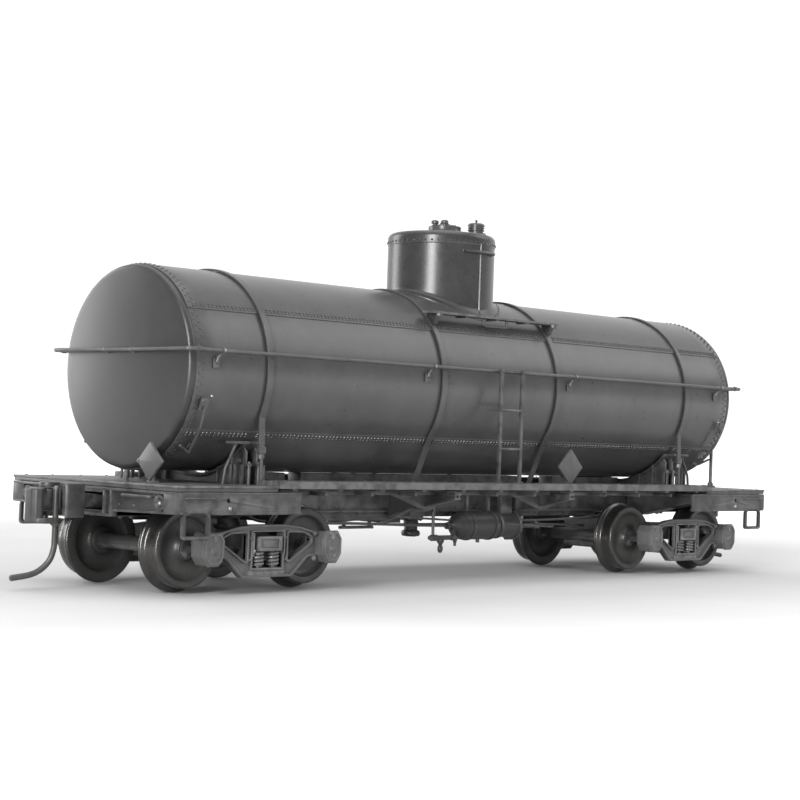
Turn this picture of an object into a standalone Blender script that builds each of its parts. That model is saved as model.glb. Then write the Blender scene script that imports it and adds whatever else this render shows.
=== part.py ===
# Model tank wagon, 1:87.1, single riveted barrel with one dome on two
# four-wheel trucks.
#
# Frame: +X along the wagon, +Y across it, +Z up, origin under the middle of
# the wagon at wheel-flange level.  The "a" end is at -X, the "b" end at +X;
# the "near" side is -Y and the "far" side +Y.  All constants below are in
# millimetres and are turned into metres as the shapes are made.

import math

import bmesh
import bpy
from mathutils import Matrix, Vector

# ---------------------------------------------------------------- dimensions
MM = 0.001
GAP = 0.04                    # air between pieces that rest on each other

# tank
TANK_R = 12.80
TANK_WALL = 0.50
TANK_Z = 27.38                # height of the tank's axis
TANK_HALF = 54.85             # half length of the barrel
HEAD_RIM = 55.70              # where the head's knuckle radius starts to turn
HEAD_BULGE = 0.95
BAND_X = (-43.40, -12.05, 12.05, 43.40)
BAND_W = 0.90
BAND_T = 0.28
DOME_R = 7.73
DOME_WALL = 0.60
DOME_TOP = 49.95

# deck and sills
DECK_HALF = 60.40
DECK_HALF_W = 16.70
PLATFORM_X = 44.50
PLATFORM_TOP = 13.30
PLATFORM_BOTTOM = 12.60
BOARD_TOP = 13.90
BOARD_BOTTOM = 12.75
BOARD_INNER = 12.40
SILL_TOP = 12.55
SILL_BOTTOM = 9.30
SILL_HALF_W = 2.90
SIDE_SILL_BOTTOM = 9.90
RAIL_Y = 13.70
RAIL_Z = 29.40
RAIL_R = 0.22
END_RAIL_X = 57.00

# trucks
TRUCK_X = 43.44
AXLE_DX = 9.60
AXLE_Z = 5.45
TREAD_R = 4.80
FLANGE_R = 5.45
WHEEL_IN = 7.20
WHEEL_OUT = 10.00
AXLE_END = 12.90
AXLE_STUB_R = 0.50
JOURNAL_R = 0.58
FRAME_IN = 12.55
FRAME_OUT = 13.80
BOX_FACE = 15.20

# couplers
COUPLER_X = 54.00             # pivot of the shank in its box
COUPLER_Z = 10.80
KNUCKLE_PIVOT = (65.20, 1.80)

for ob in list(bpy.data.objects):
    bpy.data.objects.remove(ob, do_unlink=True)

WAGON = bpy.data.collections.new("model_tank_wagon")
bpy.context.scene.collection.children.link(WAGON)
CUTTERS = bpy.data.collections.new("cutters")
bpy.context.scene.collection.children.link(CUTTERS)


# ------------------------------------------------------------------- helpers
def material(name, rgb, rough, metal):
    m = bpy.data.materials.new(name)
    m.use_nodes = True
    bsdf = m.node_tree.nodes["Principled BSDF"]
    bsdf.inputs["Base Color"].default_value = (*rgb, 1.0)
    bsdf.inputs["Roughness"].default_value = rough
    bsdf.inputs["Metallic"].default_value = metal
    m.diffuse_color = (*rgb, 1.0)
    return m


PAINT_TANK = ("tank_paint", (0.060, 0.060, 0.062), 0.34, 0.0)
PAINT_FRAME = ("frame_paint", (0.045, 0.045, 0.046), 0.48, 0.0)
PLASTIC = ("truck_plastic", (0.050, 0.050, 0.050), 0.50, 0.0)
WHEEL_METAL = ("wheel_metal", (0.070, 0.068, 0.066), 0.35, 0.7)
WIRE = ("wire_steel", (0.060, 0.060, 0.062), 0.38, 0.5)
STEEL = ("ballast_steel", (0.35, 0.35, 0.36), 0.45, 1.0)
COUPLER_METAL = ("coupler_metal", (0.055, 0.054, 0.054), 0.42, 0.4)


def add(name, mesh, mat, shade=35.0):
    ob = bpy.data.objects.new(name, mesh)
    WAGON.objects.link(ob)
    mesh.materials.clear()
    mesh.materials.append(material(name + "_" + mat[0], *mat[1:]))
    if shade:
        mesh.shade_smooth()
        mesh.set_sharp_from_angle(angle=math.radians(shade))
    return ob


def temp(mesh, name="tool"):
    ob = bpy.data.objects.new(name, mesh)
    CUTTERS.objects.link(ob)
    ob.hide_render = True
    ob.display_type = "WIRE"
    return ob


def evaluated_mesh(ob, name, weld=0.002):
    deps = bpy.context.evaluated_depsgraph_get()
    deps.update()
    mesh = bpy.data.meshes.new_from_object(ob.evaluated_get(deps))
    mesh.name = name
    mesh.transform(ob.matrix_world)
    bm = bmesh.new()
    bm.from_mesh(mesh)
    bmesh.ops.remove_doubles(bm, verts=bm.verts, dist=weld * MM)
    bm.to_mesh(mesh)
    bm.free()
    return mesh


def drop(ob):
    bpy.data.objects.remove(ob, do_unlink=True)


def box(lo, hi):
    """Axis-aligned block between two corners, in millimetres."""
    bm = bmesh.new()
    bmesh.ops.create_cube(bm, size=1.0)
    lo, hi = Vector(lo) * MM, Vector(hi) * MM
    size, mid = hi - lo, (hi + lo) / 2
    bmesh.ops.scale(bm, vec=size, verts=bm.verts)
    bmesh.ops.translate(bm, vec=mid, verts=bm.verts)
    mesh = bpy.data.meshes.new("box")
    bm.to_mesh(mesh)
    bm.free()
    return mesh


AXES = {
    "Z": Matrix.Identity(4),
    "X": Matrix.Rotation(math.radians(90), 4, "Y"),
    "Y": Matrix.Rotation(math.radians(-90), 4, "X"),
}


def rod(r, length, centre, axis="Z", segments=20, r2=None):
    """Cylinder or cone along an axis; r2 is the radius at the + end."""
    bm = bmesh.new()
    bmesh.ops.create_cone(bm, cap_ends=True, cap_tris=False, segments=segments,
                          radius1=r * MM, radius2=(r if r2 is None else r2) * MM,
                          depth=length * MM)
    bmesh.ops.transform(bm, matrix=Matrix.Translation(Vector(centre) * MM) @ AXES[axis],
                        verts=bm.verts)
    mesh = bpy.data.meshes.new("rod")
    bm.to_mesh(mesh)
    bm.free()
    return mesh


def turned(profile, centre=(0, 0, 0), axis="Z", steps=32, closed=False):
    """Turned shape.  The profile is (radius, height) pairs running down the
    outer side, top to bottom; a closed profile comes back up the bore."""
    bm = bmesh.new()
    vs = [bm.verts.new((r * MM, 0, z * MM)) for r, z in profile]
    for a, b in zip(vs, vs[1:]):
        bm.edges.new((a, b))
    if closed:
        bm.edges.new((vs[-1], vs[0]))
    mesh = bpy.data.meshes.new("turned")
    bm.to_mesh(mesh)
    bm.free()
    ob = temp(mesh)
    mod = ob.modifiers.new("turn", "SCREW")
    mod.axis = "Z"
    mod.steps = steps
    mod.render_steps = steps
    mod.use_merge_vertices = True
    mod.merge_threshold = 0.000002
    ob.matrix_world = Matrix.Translation(Vector(centre) * MM) @ AXES[axis]
    bpy.context.view_layer.update()
    out = evaluated_mesh(ob, "turned")
    drop(ob)
    return out


# a flat outline lies in one of these planes: (first axis, second axis, normal)
PLANES = {
    "XY": Matrix.Identity(4),
    "XZ": Matrix(((1, 0, 0, 0), (0, 0, -1, 0), (0, 1, 0, 0), (0, 0, 0, 1))),
    "YZ": Matrix(((0, 0, 1, 0), (1, 0, 0, 0), (0, 1, 0, 0), (0, 0, 0, 1))),
}


def plate(loops, lo, hi, plane="XY"):
    """Flat outline with holes, between two levels along the plane's normal."""
    data = bpy.data.curves.new("outline", "CURVE")
    data.dimensions = "2D"
    data.fill_mode = "BOTH"
    data.extrude = abs(hi - lo) / 2 * MM
    for loop in loops:
        sp = data.splines.new("POLY")
        sp.points.add(len(loop) - 1)
        for p, (u, v) in zip(sp.points, loop):
            p.co = (u * MM, v * MM, 0, 1)
        sp.use_cyclic_u = True
    ob = bpy.data.objects.new("outline", data)
    CUTTERS.objects.link(ob)
    mid = (lo + hi) / 2
    if plane == "XZ":
        mid = -mid            # this plane's normal points to -Y
    ob.matrix_world = PLANES[plane] @ Matrix.Translation((0, 0, mid * MM))
    bpy.context.view_layer.update()
    mesh = evaluated_mesh(ob, "plate")
    drop(ob)
    bpy.data.curves.remove(data)
    return mesh


def wire(points, r, resolution=2):
    """Round wire through points, with flat ends."""
    data = bpy.data.curves.new("wire", "CURVE")
    data.dimensions = "3D"
    data.bevel_depth = r * MM
    data.bevel_resolution = resolution
    data.use_fill_caps = True
    sp = data.splines.new("POLY")
    sp.points.add(len(points) - 1)
    for p, co in zip(sp.points, points):
        p.co = (co[0] * MM, co[1] * MM, co[2] * MM, 1)
    ob = bpy.data.objects.new("wire", data)
    CUTTERS.objects.link(ob)
    bpy.context.view_layer.update()
    mesh = evaluated_mesh(ob, "wire")
    drop(ob)
    bpy.data.curves.remove(data)
    return mesh


def combine(base, others, operation="UNION"):
    """Exact union or difference of closed meshes."""
    ob = temp(base, "base")
    tools = []
    for mesh in others:
        t = temp(mesh)
        tools.append(t)
        mod = ob.modifiers.new("bool", "BOOLEAN")
        mod.operation = operation
        mod.solver = "EXACT"
        mod.object = t
    bpy.context.view_layer.update()
    out = evaluated_mesh(ob, "combined", 0.0001)
    drop(ob)
    for t in tools:
        drop(t)
    return out


def arc(cx, cy, r, a0, a1, n):
    return [(cx + r * math.cos(math.radians(a0 + (a1 - a0) * i / n)),
             cy + r * math.sin(math.radians(a0 + (a1 - a0) * i / n)))
            for i in range(n + 1)]


def turned_round(ob, name):
    """The same piece at the other end: the object turned 180 deg about +Z."""
    other = bpy.data.objects.new(name, ob.data.copy())
    WAGON.objects.link(other)
    other.matrix_world = Matrix.Rotation(math.pi, 4, "Z") @ ob.matrix_world
    return other


def mirrored(ob, name, axis):
    """The same piece mirrored across the wagon (axis 1) or along it (axis 0)."""
    mesh = ob.data.copy()
    flip = Matrix.Identity(4)
    flip[axis][axis] = -1
    mesh.transform(flip)
    mesh.flip_normals()
    other = bpy.data.objects.new(name, mesh)
    WAGON.objects.link(other)
    return other


def origin_at(ob, point):
    """Puts a moving piece's origin on its joint axis, leaving its shape."""
    p = Vector(point) * MM
    ob.data.transform(Matrix.Translation(-p))
    ob.location = p


def pivot(name, point):
    e = bpy.data.objects.new(name, None)
    e.empty_display_size = 0.004
    e.location = Vector(point) * MM
    WAGON.objects.link(e)
    bpy.context.view_layer.update()
    return e


def hang(ob, parent):
    bpy.context.view_layer.update()
    world = ob.matrix_world.copy()
    ob.parent = parent
    ob.matrix_parent_inverse = parent.matrix_world.inverted()
    ob.matrix_world = world


# ---------------------------------------------------------------- underframe
add("centre_sill", box((-48.9, -SILL_HALF_W, SILL_BOTTOM),
                       (48.9, SILL_HALF_W, SILL_TOP)), PAINT_FRAME)


def bearer(x, half, tip_z, low_z, low_y):
    """Cross member with a notch that the centre sill passes through."""
    w = SILL_HALF_W + GAP
    outline = [(-16.1, SILL_TOP), (-16.1, tip_z), (-low_y, low_z), (low_y, low_z),
               (16.1, tip_z), (16.1, SILL_TOP), (w, SILL_TOP),
               (w, SILL_BOTTOM - GAP), (-w, SILL_BOTTOM - GAP), (-w, SILL_TOP)]
    return plate([outline], x - half, x + half, "YZ")


bolster = add("body_bolster_a", bearer(-TRUCK_X, 1.9, 11.5, 8.80, 4.6), PAINT_FRAME)
turned_round(bolster, "body_bolster_b")
cross = add("cross_bearer_a", bearer(-12.05, 0.5, 11.9, 8.95, 3.3), PAINT_FRAME)
turned_round(cross, "cross_bearer_b")

# end sill with its coupler box: a plate across the end, deeper in the middle,
# and the open-ended box behind it that the shank swings in
end_outline = [(-16.6, SILL_TOP), (-16.6, 9.95), (-4.3, 9.60), (-4.1, 9.05),
               (4.1, 9.05), (4.3, 9.60), (16.6, 9.95), (16.6, SILL_TOP)]
end_plate = plate([end_outline], -DECK_HALF, -59.4, "YZ")
draft_box = box((-59.9, -3.6, 9.05), (-49.0, 3.6, SILL_TOP - 0.02))
cavity = box((-61.0, -2.4, 9.75), (-50.0, 2.4, 11.85))
post = rod(0.70, 2.5, (-COUPLER_X, 0, COUPLER_Z), segments=16)
end_mesh = combine(combine(combine(end_plate, [draft_box]), [cavity], "DIFFERENCE"), [post])
end_sill = add("end_sill_a", end_mesh, PAINT_FRAME)
turned_round(end_sill, "end_sill_b")

# side sill plate with the stirrup step hanging from it
sill_outline = [(-59.3, SILL_TOP), (-59.3, 7.00), (-55.1, 7.00), (-55.1, SIDE_SILL_BOTTOM),
                (-40.8, SIDE_SILL_BOTTOM), (-40.8, SILL_TOP)]
step_hole = [(-58.8, 9.90), (-58.8, 7.45), (-55.6, 7.45), (-55.6, 9.90)]
side = add("side_sill_a_near",
           plate([sill_outline, step_hole], -DECK_HALF_W, -16.15, "XZ"), PAINT_FRAME)
turned_round(side, "side_sill_b_far")
side_far = mirrored(side, "side_sill_a_far", 1)
turned_round(side_far, "side_sill_b_near")

platform = add("end_platform_a",
               box((-DECK_HALF, -DECK_HALF_W, PLATFORM_BOTTOM),
                   (-PLATFORM_X, DECK_HALF_W, PLATFORM_TOP)), PAINT_FRAME)
turned_round(platform, "end_platform_b")
board = add("running_board_near",
            box((-PLATFORM_X + 0.05, -DECK_HALF_W, BOARD_BOTTOM),
                (PLATFORM_X - 0.05, -BOARD_INNER, BOARD_TOP)), PAINT_FRAME)
turned_round(board, "running_board_far")

# cradle that the tank lies in, on the bolster
SADDLE_X = 43.40
cradle = box((-SADDLE_X - 1.0, -11.6, 12.60), (-SADDLE_X + 1.0, 11.6, 17.9))
tank_space = rod(TANK_R + BAND_T + 2 * GAP, 20, (-SADDLE_X, 0, TANK_Z), "X", 48)
saddle = add("saddle_a", combine(cradle, [tank_space], "DIFFERENCE"), PAINT_FRAME)
turned_round(saddle, "saddle_b")

# ---------------------------------------------------------------------- tank
TANK_STEPS = 44
barrel_profile = [(TANK_R, TANK_HALF), (TANK_R, -TANK_HALF),
                  (TANK_R - TANK_WALL, -TANK_HALF), (TANK_R - TANK_WALL, TANK_HALF)]
add("tank_barrel", turned(barrel_profile, (0, 0, TANK_Z), "X", TANK_STEPS, True), PAINT_TANK)

# dished head: a shallow cup whose flange butts on the barrel
head_outer = [(0.0, HEAD_RIM + HEAD_BULGE), (5.0, HEAD_RIM + HEAD_BULGE * 0.88),
              (9.0, HEAD_RIM + HEAD_BULGE * 0.53), (12.1, HEAD_RIM),
              (12.62, HEAD_RIM - 0.25), (TANK_R, TANK_HALF + 0.40),
              (TANK_R, TANK_HALF + GAP)]
head_inner = [(12.3, TANK_HALF + GAP), (11.8, HEAD_RIM - 0.45),
              (6.0, HEAD_RIM + 0.40), (0.0, HEAD_RIM + HEAD_BULGE - 0.5)]
head_b = add("tank_head_b", turned(head_outer + head_inner, (0, 0, TANK_Z), "X", TANK_STEPS),
             PAINT_TANK)
turned_round(head_b, "tank_head_a")

# steel weight on the floor of the tank
add("ballast_weight", box((-32, -5.5, 16.9), (32, 5.5, 20.4)), STEEL)

# ---------------------------------------------------------------------- dome
dome_profile = [(0.0, DOME_TOP), (5.2, DOME_TOP - 0.22), (7.1, DOME_TOP - 0.75),
                (DOME_R, DOME_TOP - 2.0), (DOME_R, 40.20), (8.05, 39.55),
                (8.75, 38.95), (8.75, 35.0), (DOME_R - DOME_WALL, 35.0),
                (DOME_R - DOME_WALL, DOME_TOP - 2.1), (5.6, DOME_TOP - 0.95),
                (0.0, DOME_TOP - 0.65)]
dome_body = turned(dome_profile, (0, 0, 0), "Z", 32)
foot_cut = rod(TANK_R + GAP, 40, (0, 0, TANK_Z), "X", TANK_STEPS)
dome_body = combine(dome_body, [foot_cut], "DIFFERENCE")
add("dome", dome_body, PAINT_TANK)

cover = turned([(0.0, 50.95), (2.20, 50.90), (2.38, 50.75), (2.38, DOME_TOP + GAP),
                (0.0, DOME_TOP + GAP)], steps=20)
lugs = [rod(0.38, 0.8, (math.cos(a) * 1.95, math.sin(a) * 1.95, 51.15), segments=10)
        for a in (math.radians(d) for d in (176, 222))]
add("manway_cover", combine(cover, lugs), PAINT_TANK)

VALVE = (3.55, -3.25)
add("safety_valve", turned([(0.0, 51.95), (0.22, 51.90), (0.25, 51.45), (1.15, 51.40),
                            (1.25, 51.20), (1.25, 50.05), (1.05, DOME_TOP + GAP),
                            (0.0, DOME_TOP + GAP)], (*VALVE, 0), "Z", 20), PAINT_TANK)


# --------------------------------------------------------------------- bands
def band(name, x, outer_band):
    """Hold-down strap: round the top of the barrel and straight down each
    side to the frame."""
    ri, ro = TANK_R + 0.03, TANK_R + 0.03 + BAND_T
    if outer_band:
        a, foot_y, foot_z = -26.0, 11.75, 12.62
    else:
        a, foot_y, foot_z = -36.0, 7.15, 12.62
    outer = arc(0, TANK_Z, ro, a, 180 - a, 32)
    inner = arc(0, TANK_Z, ri, 180 - a, a, 32)
    # the last points of both arcs lead into the straight tails
    foot_o, foot_i = foot_y + BAND_T, foot_y
    if outer_band:
        loop = ([(foot_o, foot_z)] + outer + [(-foot_o, foot_z), (-foot_i, foot_z)]
                + inner + [(foot_i, foot_z)])
    else:
        loop = ([(foot_o + 0.05, foot_z)] + outer + [(-foot_o - 0.05, foot_z), (-foot_i, foot_z)]
                + inner + [(foot_i, foot_z)])
    return add(name, plate([loop], x - BAND_W / 2, x + BAND_W / 2, "YZ"), PAINT_TANK)


band("tank_band_1", BAND_X[0], True)
band("tank_band_2", BAND_X[1], False)
band("tank_band_3", BAND_X[2], False)
band("tank_band_4", BAND_X[3], True)

# ----------------------------------------------------------- rails and steps
rail = wire([(-57.7, -RAIL_Y, RAIL_Z), (57.7, -RAIL_Y, RAIL_Z)], RAIL_R)
stubs = [rod(0.30, 1.05, (x, -RAIL_Y + 0.45, RAIL_Z), "Y", 10) for x in (-51.6, -14.9, 14.9, 51.6)]
near_rail = add("handrail_near", combine(rail, stubs), WIRE)
turned_round(near_rail, "handrail_far")
end_wire = wire([(-END_RAIL_X, -RAIL_Y + RAIL_R + GAP, RAIL_Z),
                 (-END_RAIL_X, RAIL_Y - RAIL_R - GAP, RAIL_Z)], RAIL_R)
end_stubs = [rod(0.28, 0.50, (-END_RAIL_X + 0.12, y, RAIL_Z), "X", 10) for y in (-2.7, 2.7)]
end_rail = add("handrail_end_a", combine(end_wire, end_stubs), WIRE)
turned_round(end_rail, "handrail_end_b")

ladder_outer = [(-2.45, BOARD_TOP + GAP), (2.45, BOARD_TOP + GAP), (2.45, 29.7), (-2.45, 29.7)]
ladder_gaps = [[(-1.95, z0), (1.95, z0), (1.95, z1), (-1.95, z1)]
               for z0, z1 in ((14.35, 18.40), (18.85, 23.80), (24.25, 29.25))]
ladder = add("ladder_near", plate([ladder_outer] + ladder_gaps, -14.70, -14.25, "XZ"), PAINT_FRAME)
turned_round(ladder, "ladder_far")

walk = box((-13.2, -11.5, 36.60), (13.2, -9.45, 37.10))
brackets = [plate([[(-9.55, 36.75), (-11.20, 36.75), (-10.45, 35.65)]], x - 0.3, x + 0.3, "YZ")
            for x in (BAND_X[1], BAND_X[2])]
step = wire([(-2.45, -10.9, 36.8), (-2.45, -10.9, 35.75), (2.45, -10.9, 35.75),
             (2.45, -10.9, 36.8)], 0.20)
walk_near = add("dome_walk_near", combine(walk, brackets + [step]), PAINT_FRAME)
turned_round(walk_near, "dome_walk_far")

# ------------------------------------------------------------------ placards
PL = 2.40
end_board = plate([[(-7.6, 15.85 + PL), (-7.6 - PL, 15.85), (-7.6, 15.85 - PL + 0.05),
                    (-7.6 + PL, 15.85)]], -57.45, -57.0, "YZ")
end_foot = box((-57.1, -8.1, PLATFORM_TOP + GAP), (-56.7, -7.1, 15.2))
end_card = add("placard_board_end_a", combine(end_board, [end_foot]), PAINT_FRAME)
turned_round(end_card, "placard_board_end_b")
side_board = plate([[(15.7, 16.32 + PL), (15.7 - PL, 16.32), (15.7, 16.32 - PL + 0.05),
                     (15.7 + PL, 16.32)]], -13.4, -12.95, "XZ")
side_foot = box((15.2, -13.05, BOARD_TOP + GAP), (16.2, -12.65, 15.2))
side_card = add("placard_board_near", combine(side_board, [side_foot]), PAINT_FRAME)
turned_round(side_card, "placard_board_far")

# ---------------------------------------------------------------- brake gear
BRAKE_Y, BRAKE_Z = -6.1, 7.50
add("air_reservoir", turned([(0.0, 6.40), (1.75, 6.40), (2.00, 6.15), (2.00, 0.30),
                             (1.75, 0.0), (0.80, -1.2), (0.35, -3.4), (0.0, -3.4)],
                            (0, BRAKE_Y, BRAKE_Z), "X", 24), PAINT_FRAME)
cylinder = turned([(0.0, 11.2), (1.75, 11.2), (1.95, 11.0), (1.95, 10.6), (1.75, 10.55),
                   (1.75, 7.1), (1.95, 7.05), (1.95, 6.6), (1.6, 6.45), (0.0, 6.45)],
                  (0, BRAKE_Y, BRAKE_Z), "X", 24)
push_rod = rod(0.38, 5.3, (13.65, BRAKE_Y, BRAKE_Z - 0.1), "X", 10)
add("brake_cylinder", combine(cylinder, [push_rod]), PAINT_FRAME)
add("bottom_outlet", turned([(0.0, SILL_BOTTOM - GAP), (1.30, SILL_BOTTOM - GAP), (1.30, 8.75),
                             (0.95, 8.60), (0.95, 6.55), (1.30, 6.45), (1.30, 5.75),
                             (0.85, 5.65), (0.0, 5.65)], (-4.35, 0, 0), "Z", 24), PAINT_FRAME)

# hand brake: a staff on the b-end platform with its wheel on top
BRAKE_STAFF = (59.1, -6.9)
staff = rod(0.30, 13.9, (*BRAKE_STAFF, PLATFORM_TOP + GAP + 7.25), "Z", 12)
foot = rod(0.75, 0.75, (*BRAKE_STAFF, PLATFORM_TOP + GAP + 0.375), "Z", 16)
bx, by = BRAKE_STAFF
spaces = []
for k in range(4):
    a0, a1 = 90 * k + 12, 90 * k + 78
    spaces.append(arc(bx, by, 1.98, a0, a1, 5) + arc(bx, by, 0.75, a1, a0, 2))
brake_wheel = plate([arc(bx, by, 2.30, 0, 345, 23)] + spaces, 26.9, 27.3, "XY")
add("hand_brake", combine(combine(staff, [foot]), [brake_wheel]), WIRE)

# -------------------------------------------------------------------- trucks
FX = -TRUCK_X


def truck_frame():
    """Cast side frame: arched top chord, dropped bottom chord, a window for
    the bolster and springs, and a journal box over each axle."""
    def at(pts):
        return [(FX + u, v) for u, v in pts]
    outer = at([(-8.4, 7.35), (-5.0, 8.25), (-2.6, 8.50), (2.6, 8.50), (5.0, 8.25), (8.4, 7.35),
                (11.0, 7.20), (11.0, 4.30), (8.5, 4.15), (3.1, 2.05), (-3.1, 2.05),
                (-8.5, 4.15), (-11.0, 4.30), (-11.0, 7.20)])
    window = at([(-2.45, 7.55), (-2.45, 3.10), (2.45, 3.10), (2.45, 7.55)])
    left = at([(-3.3, 7.25), (-7.2, 6.55), (-7.2, 5.35), (-3.3, 3.55)])
    right = at([(3.3, 7.25), (3.3, 3.55), (7.2, 5.35), (7.2, 6.55)])
    web = plate([outer, window, left, right], -FRAME_OUT, -FRAME_IN, "XZ")
    boxes = []
    for s in (-1, 1):
        cx = FX + s * AXLE_DX
        boxes.append(plate([[(cx - 1.55, 7.05), (cx - 1.25, 7.60), (cx + 1.25, 7.60),
                             (cx + 1.55, 7.05), (cx + 1.35, 4.20), (cx + 0.75, 3.70),
                             (cx - 0.75, 3.70), (cx - 1.35, 4.20)]],
                           -BOX_FACE, -FRAME_IN - 0.2, "XZ"))
    bores = [rod(JOURNAL_R, 1.4, (FX + s * AXLE_DX, -FRAME_IN, AXLE_Z), "Y", 16) for s in (-1, 1)]
    return combine(combine(web, boxes), bores, "DIFFERENCE")


def truck_bolster():
    """Cross beam whose ends stand in the side frames' windows, with the
    centre plate the wagon turns on and the screw hole through it."""
    beam = plate([[(-14.2, 5.30), (14.2, 5.30), (14.2, 7.05), (12.3, 7.05), (9.0, 7.6),
                   (3.6, 7.6), (3.0, 7.9), (-3.0, 7.9), (-3.6, 7.6), (-9.0, 7.6),
                   (-12.3, 7.05), (-14.2, 7.05)]], FX - 1.9, FX + 1.9, "YZ")
    centre = rod(2.4, 1.2, (FX, 0, 8.15), "Z", 24)
    hole = rod(1.05, 8.0, (FX, 0, 6.5), "Z", 16)
    return combine(combine(beam, [centre]), [hole], "DIFFERENCE")


def wheelset(dx):
    """Two flanged wheels on one axle, with stub ends in the journals."""
    half = [(AXLE_STUB_R, AXLE_END), (AXLE_STUB_R, WHEEL_OUT + 0.25), (1.40, WHEEL_OUT),
            (TREAD_R, WHEEL_OUT), (TREAD_R + 0.06, WHEEL_IN + 1.00),
            (FLANGE_R, WHEEL_IN + 0.45), (FLANGE_R - 0.12, WHEEL_IN),
            (1.70, WHEEL_IN), (1.20, WHEEL_IN - 0.45)]
    profile = [(0.0, AXLE_END)] + half + [(r, -z) for r, z in reversed(half)] + [(0.0, -AXLE_END)]
    return turned(profile, (FX + dx, 0, AXLE_Z), "Y", 28)


frame_near = add("truck_a_frame_near", truck_frame(), PLASTIC)
frame_far = mirrored(frame_near, "truck_a_frame_far", 1)
beam_a = add("truck_a_bolster", truck_bolster(), PLASTIC)
axle_1 = add("wheelset_a1", wheelset(-AXLE_DX), WHEEL_METAL)
axle_2 = add("wheelset_a2", wheelset(AXLE_DX), WHEEL_METAL)
screw_a = add("king_screw_a", turned([(0.0, 8.76), (0.85, 8.76), (0.85, 4.85), (1.60, 4.80),
                                      (1.60, 4.20), (1.2, 3.95), (0.0, 3.95)],
                                     (FX, 0, 0), "Z", 20), WIRE)

# ------------------------------------------------------------------ couplers
KX, KY = -KNUCKLE_PIVOT[0], KNUCKLE_PIVOT[1]
shank = box((-63.0, -0.80, 10.0), (-COUPLER_X, 0.80, 11.6))
eye = rod(1.55, 1.6, (-COUPLER_X, 0, COUPLER_Z), "Z", 24)
eye_hole = rod(0.80, 4.0, (-COUPLER_X, 0, COUPLER_Z), "Z", 24)
back = box((-64.1, -3.30, 8.90), (-62.7, 3.00, 12.95))
guard = plate([[(-63.6, -3.30), (-63.6, -2.05), (-65.4, -2.35), (-67.4, -3.05),
                (-67.85, -3.50), (-66.4, -3.75)]], 8.90, 12.95, "XY")


def lug(z0, z1):
    return plate([arc(KX, KY, 1.10, 120, 300, 10)[:] + [(-63.8, 1.20), (-63.8, 2.95)]],
                 z0, z1, "XY")


head = combine(combine(shank, [eye, back, guard, lug(8.90, 9.45), lug(12.30, 12.95)]),
               [eye_hole], "DIFFERENCE")
coupler = add("coupler_a", head, COUPLER_METAL)

claw = plate([[(-66.50, 2.45), (-67.30, 2.83), (-68.05, 2.45), (-68.40, 1.84), (-68.40, 0.62),
               (-68.00, 0.04), (-67.50, -0.20), (-66.90, -0.06), (-66.85, 0.62),
               (-66.50, 0.89)]],
             8.10, 12.20, "XY")
hub_round = rod(0.85, 2.66, (KX, KY, 10.87), "Z", 20)
hub_web = box((-66.8, 1.20, 9.60), (-65.3, 2.40, 12.12))
toe = plate([[(-68.00, -0.10), (-68.00, 1.25), (-66.6, 0.95), (-64.75, 0.60), (-64.6, 0.0),
              (-64.75, -0.60), (-65.6, -0.80), (-67.2, -0.65)]], 8.15, 8.80, "XY")


def smooth_route(points, n):
    """Catmull-Rom curve through the points, n steps a span."""
    pts = [Vector(p) for p in points]
    pts = [2 * pts[0] - pts[1]] + pts + [2 * pts[-1] - pts[-2]]
    out = []
    for i in range(1, len(pts) - 2):
        p0, p1, p2, p3 = pts[i - 1:i + 3]
        for k in range(n):
            t = k / n
            out.append(0.5 * ((2 * p1) + (p2 - p0) * t + (2 * p0 - 5 * p1 + 4 * p2 - p3) * t * t
                              + (3 * p1 - p0 - 3 * p2 + p3) * t ** 3))
    out.append(pts[-2])
    return out


trip = wire(smooth_route([(-65.30, 0.0, 8.50), (-65.30, 0.0, 6.60), (-65.38, 0.05, 4.90),
                          (-66.00, 0.30, 3.30), (-67.50, 0.90, 2.05), (-70.20, 1.95, 1.45)], 3),
            0.38)
knuckle = add("knuckle_a", combine(claw, [hub_round, hub_web, toe, trip]), COUPLER_METAL)

# ------------------------------------------------- pivots and the other end
truck_parts = [(frame_near, "truck_b_frame_far"), (frame_far, "truck_b_frame_near"),
               (beam_a, "truck_b_bolster"), (screw_a, "king_screw_b")]
turn_a = pivot("truck_a_pivot", (-TRUCK_X, 0, AXLE_Z))
turn_b = pivot("truck_b_pivot", (TRUCK_X, 0, AXLE_Z))
for ob, other in truck_parts:
    twin = turned_round(ob, other)
    if other != "king_screw_b":
        hang(ob, turn_a)
        hang(twin, turn_b)
for ob, other, dx in ((axle_1, "wheelset_b2", -AXLE_DX), (axle_2, "wheelset_b1", AXLE_DX)):
    origin_at(ob, (-TRUCK_X + dx, 0, AXLE_Z))
    bpy.context.view_layer.update()
    twin = turned_round(ob, other)
    hang(ob, turn_a)
    hang(twin, turn_b)
origin_at(coupler, (-COUPLER_X, 0, COUPLER_Z))
origin_at(knuckle, (KX, KY, COUPLER_Z))
bpy.context.view_layer.update()
coupler_b = turned_round(coupler, "coupler_b")
knuckle_b = turned_round(knuckle, "knuckle_b")
hang(knuckle, coupler)
hang(knuckle_b, coupler_b)
bpy.context.view_layer.update()
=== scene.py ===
# Looks of the model tank wagon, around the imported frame.
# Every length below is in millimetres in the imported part's own frame and is
# turned into metres as a mesh is made.  The "a" end is at -X and the near side
# is -Y; most pieces of the "b" end are the "a" pieces turned half round.
import math
import random

import bmesh
import bpy
from mathutils import Matrix, Vector


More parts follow.
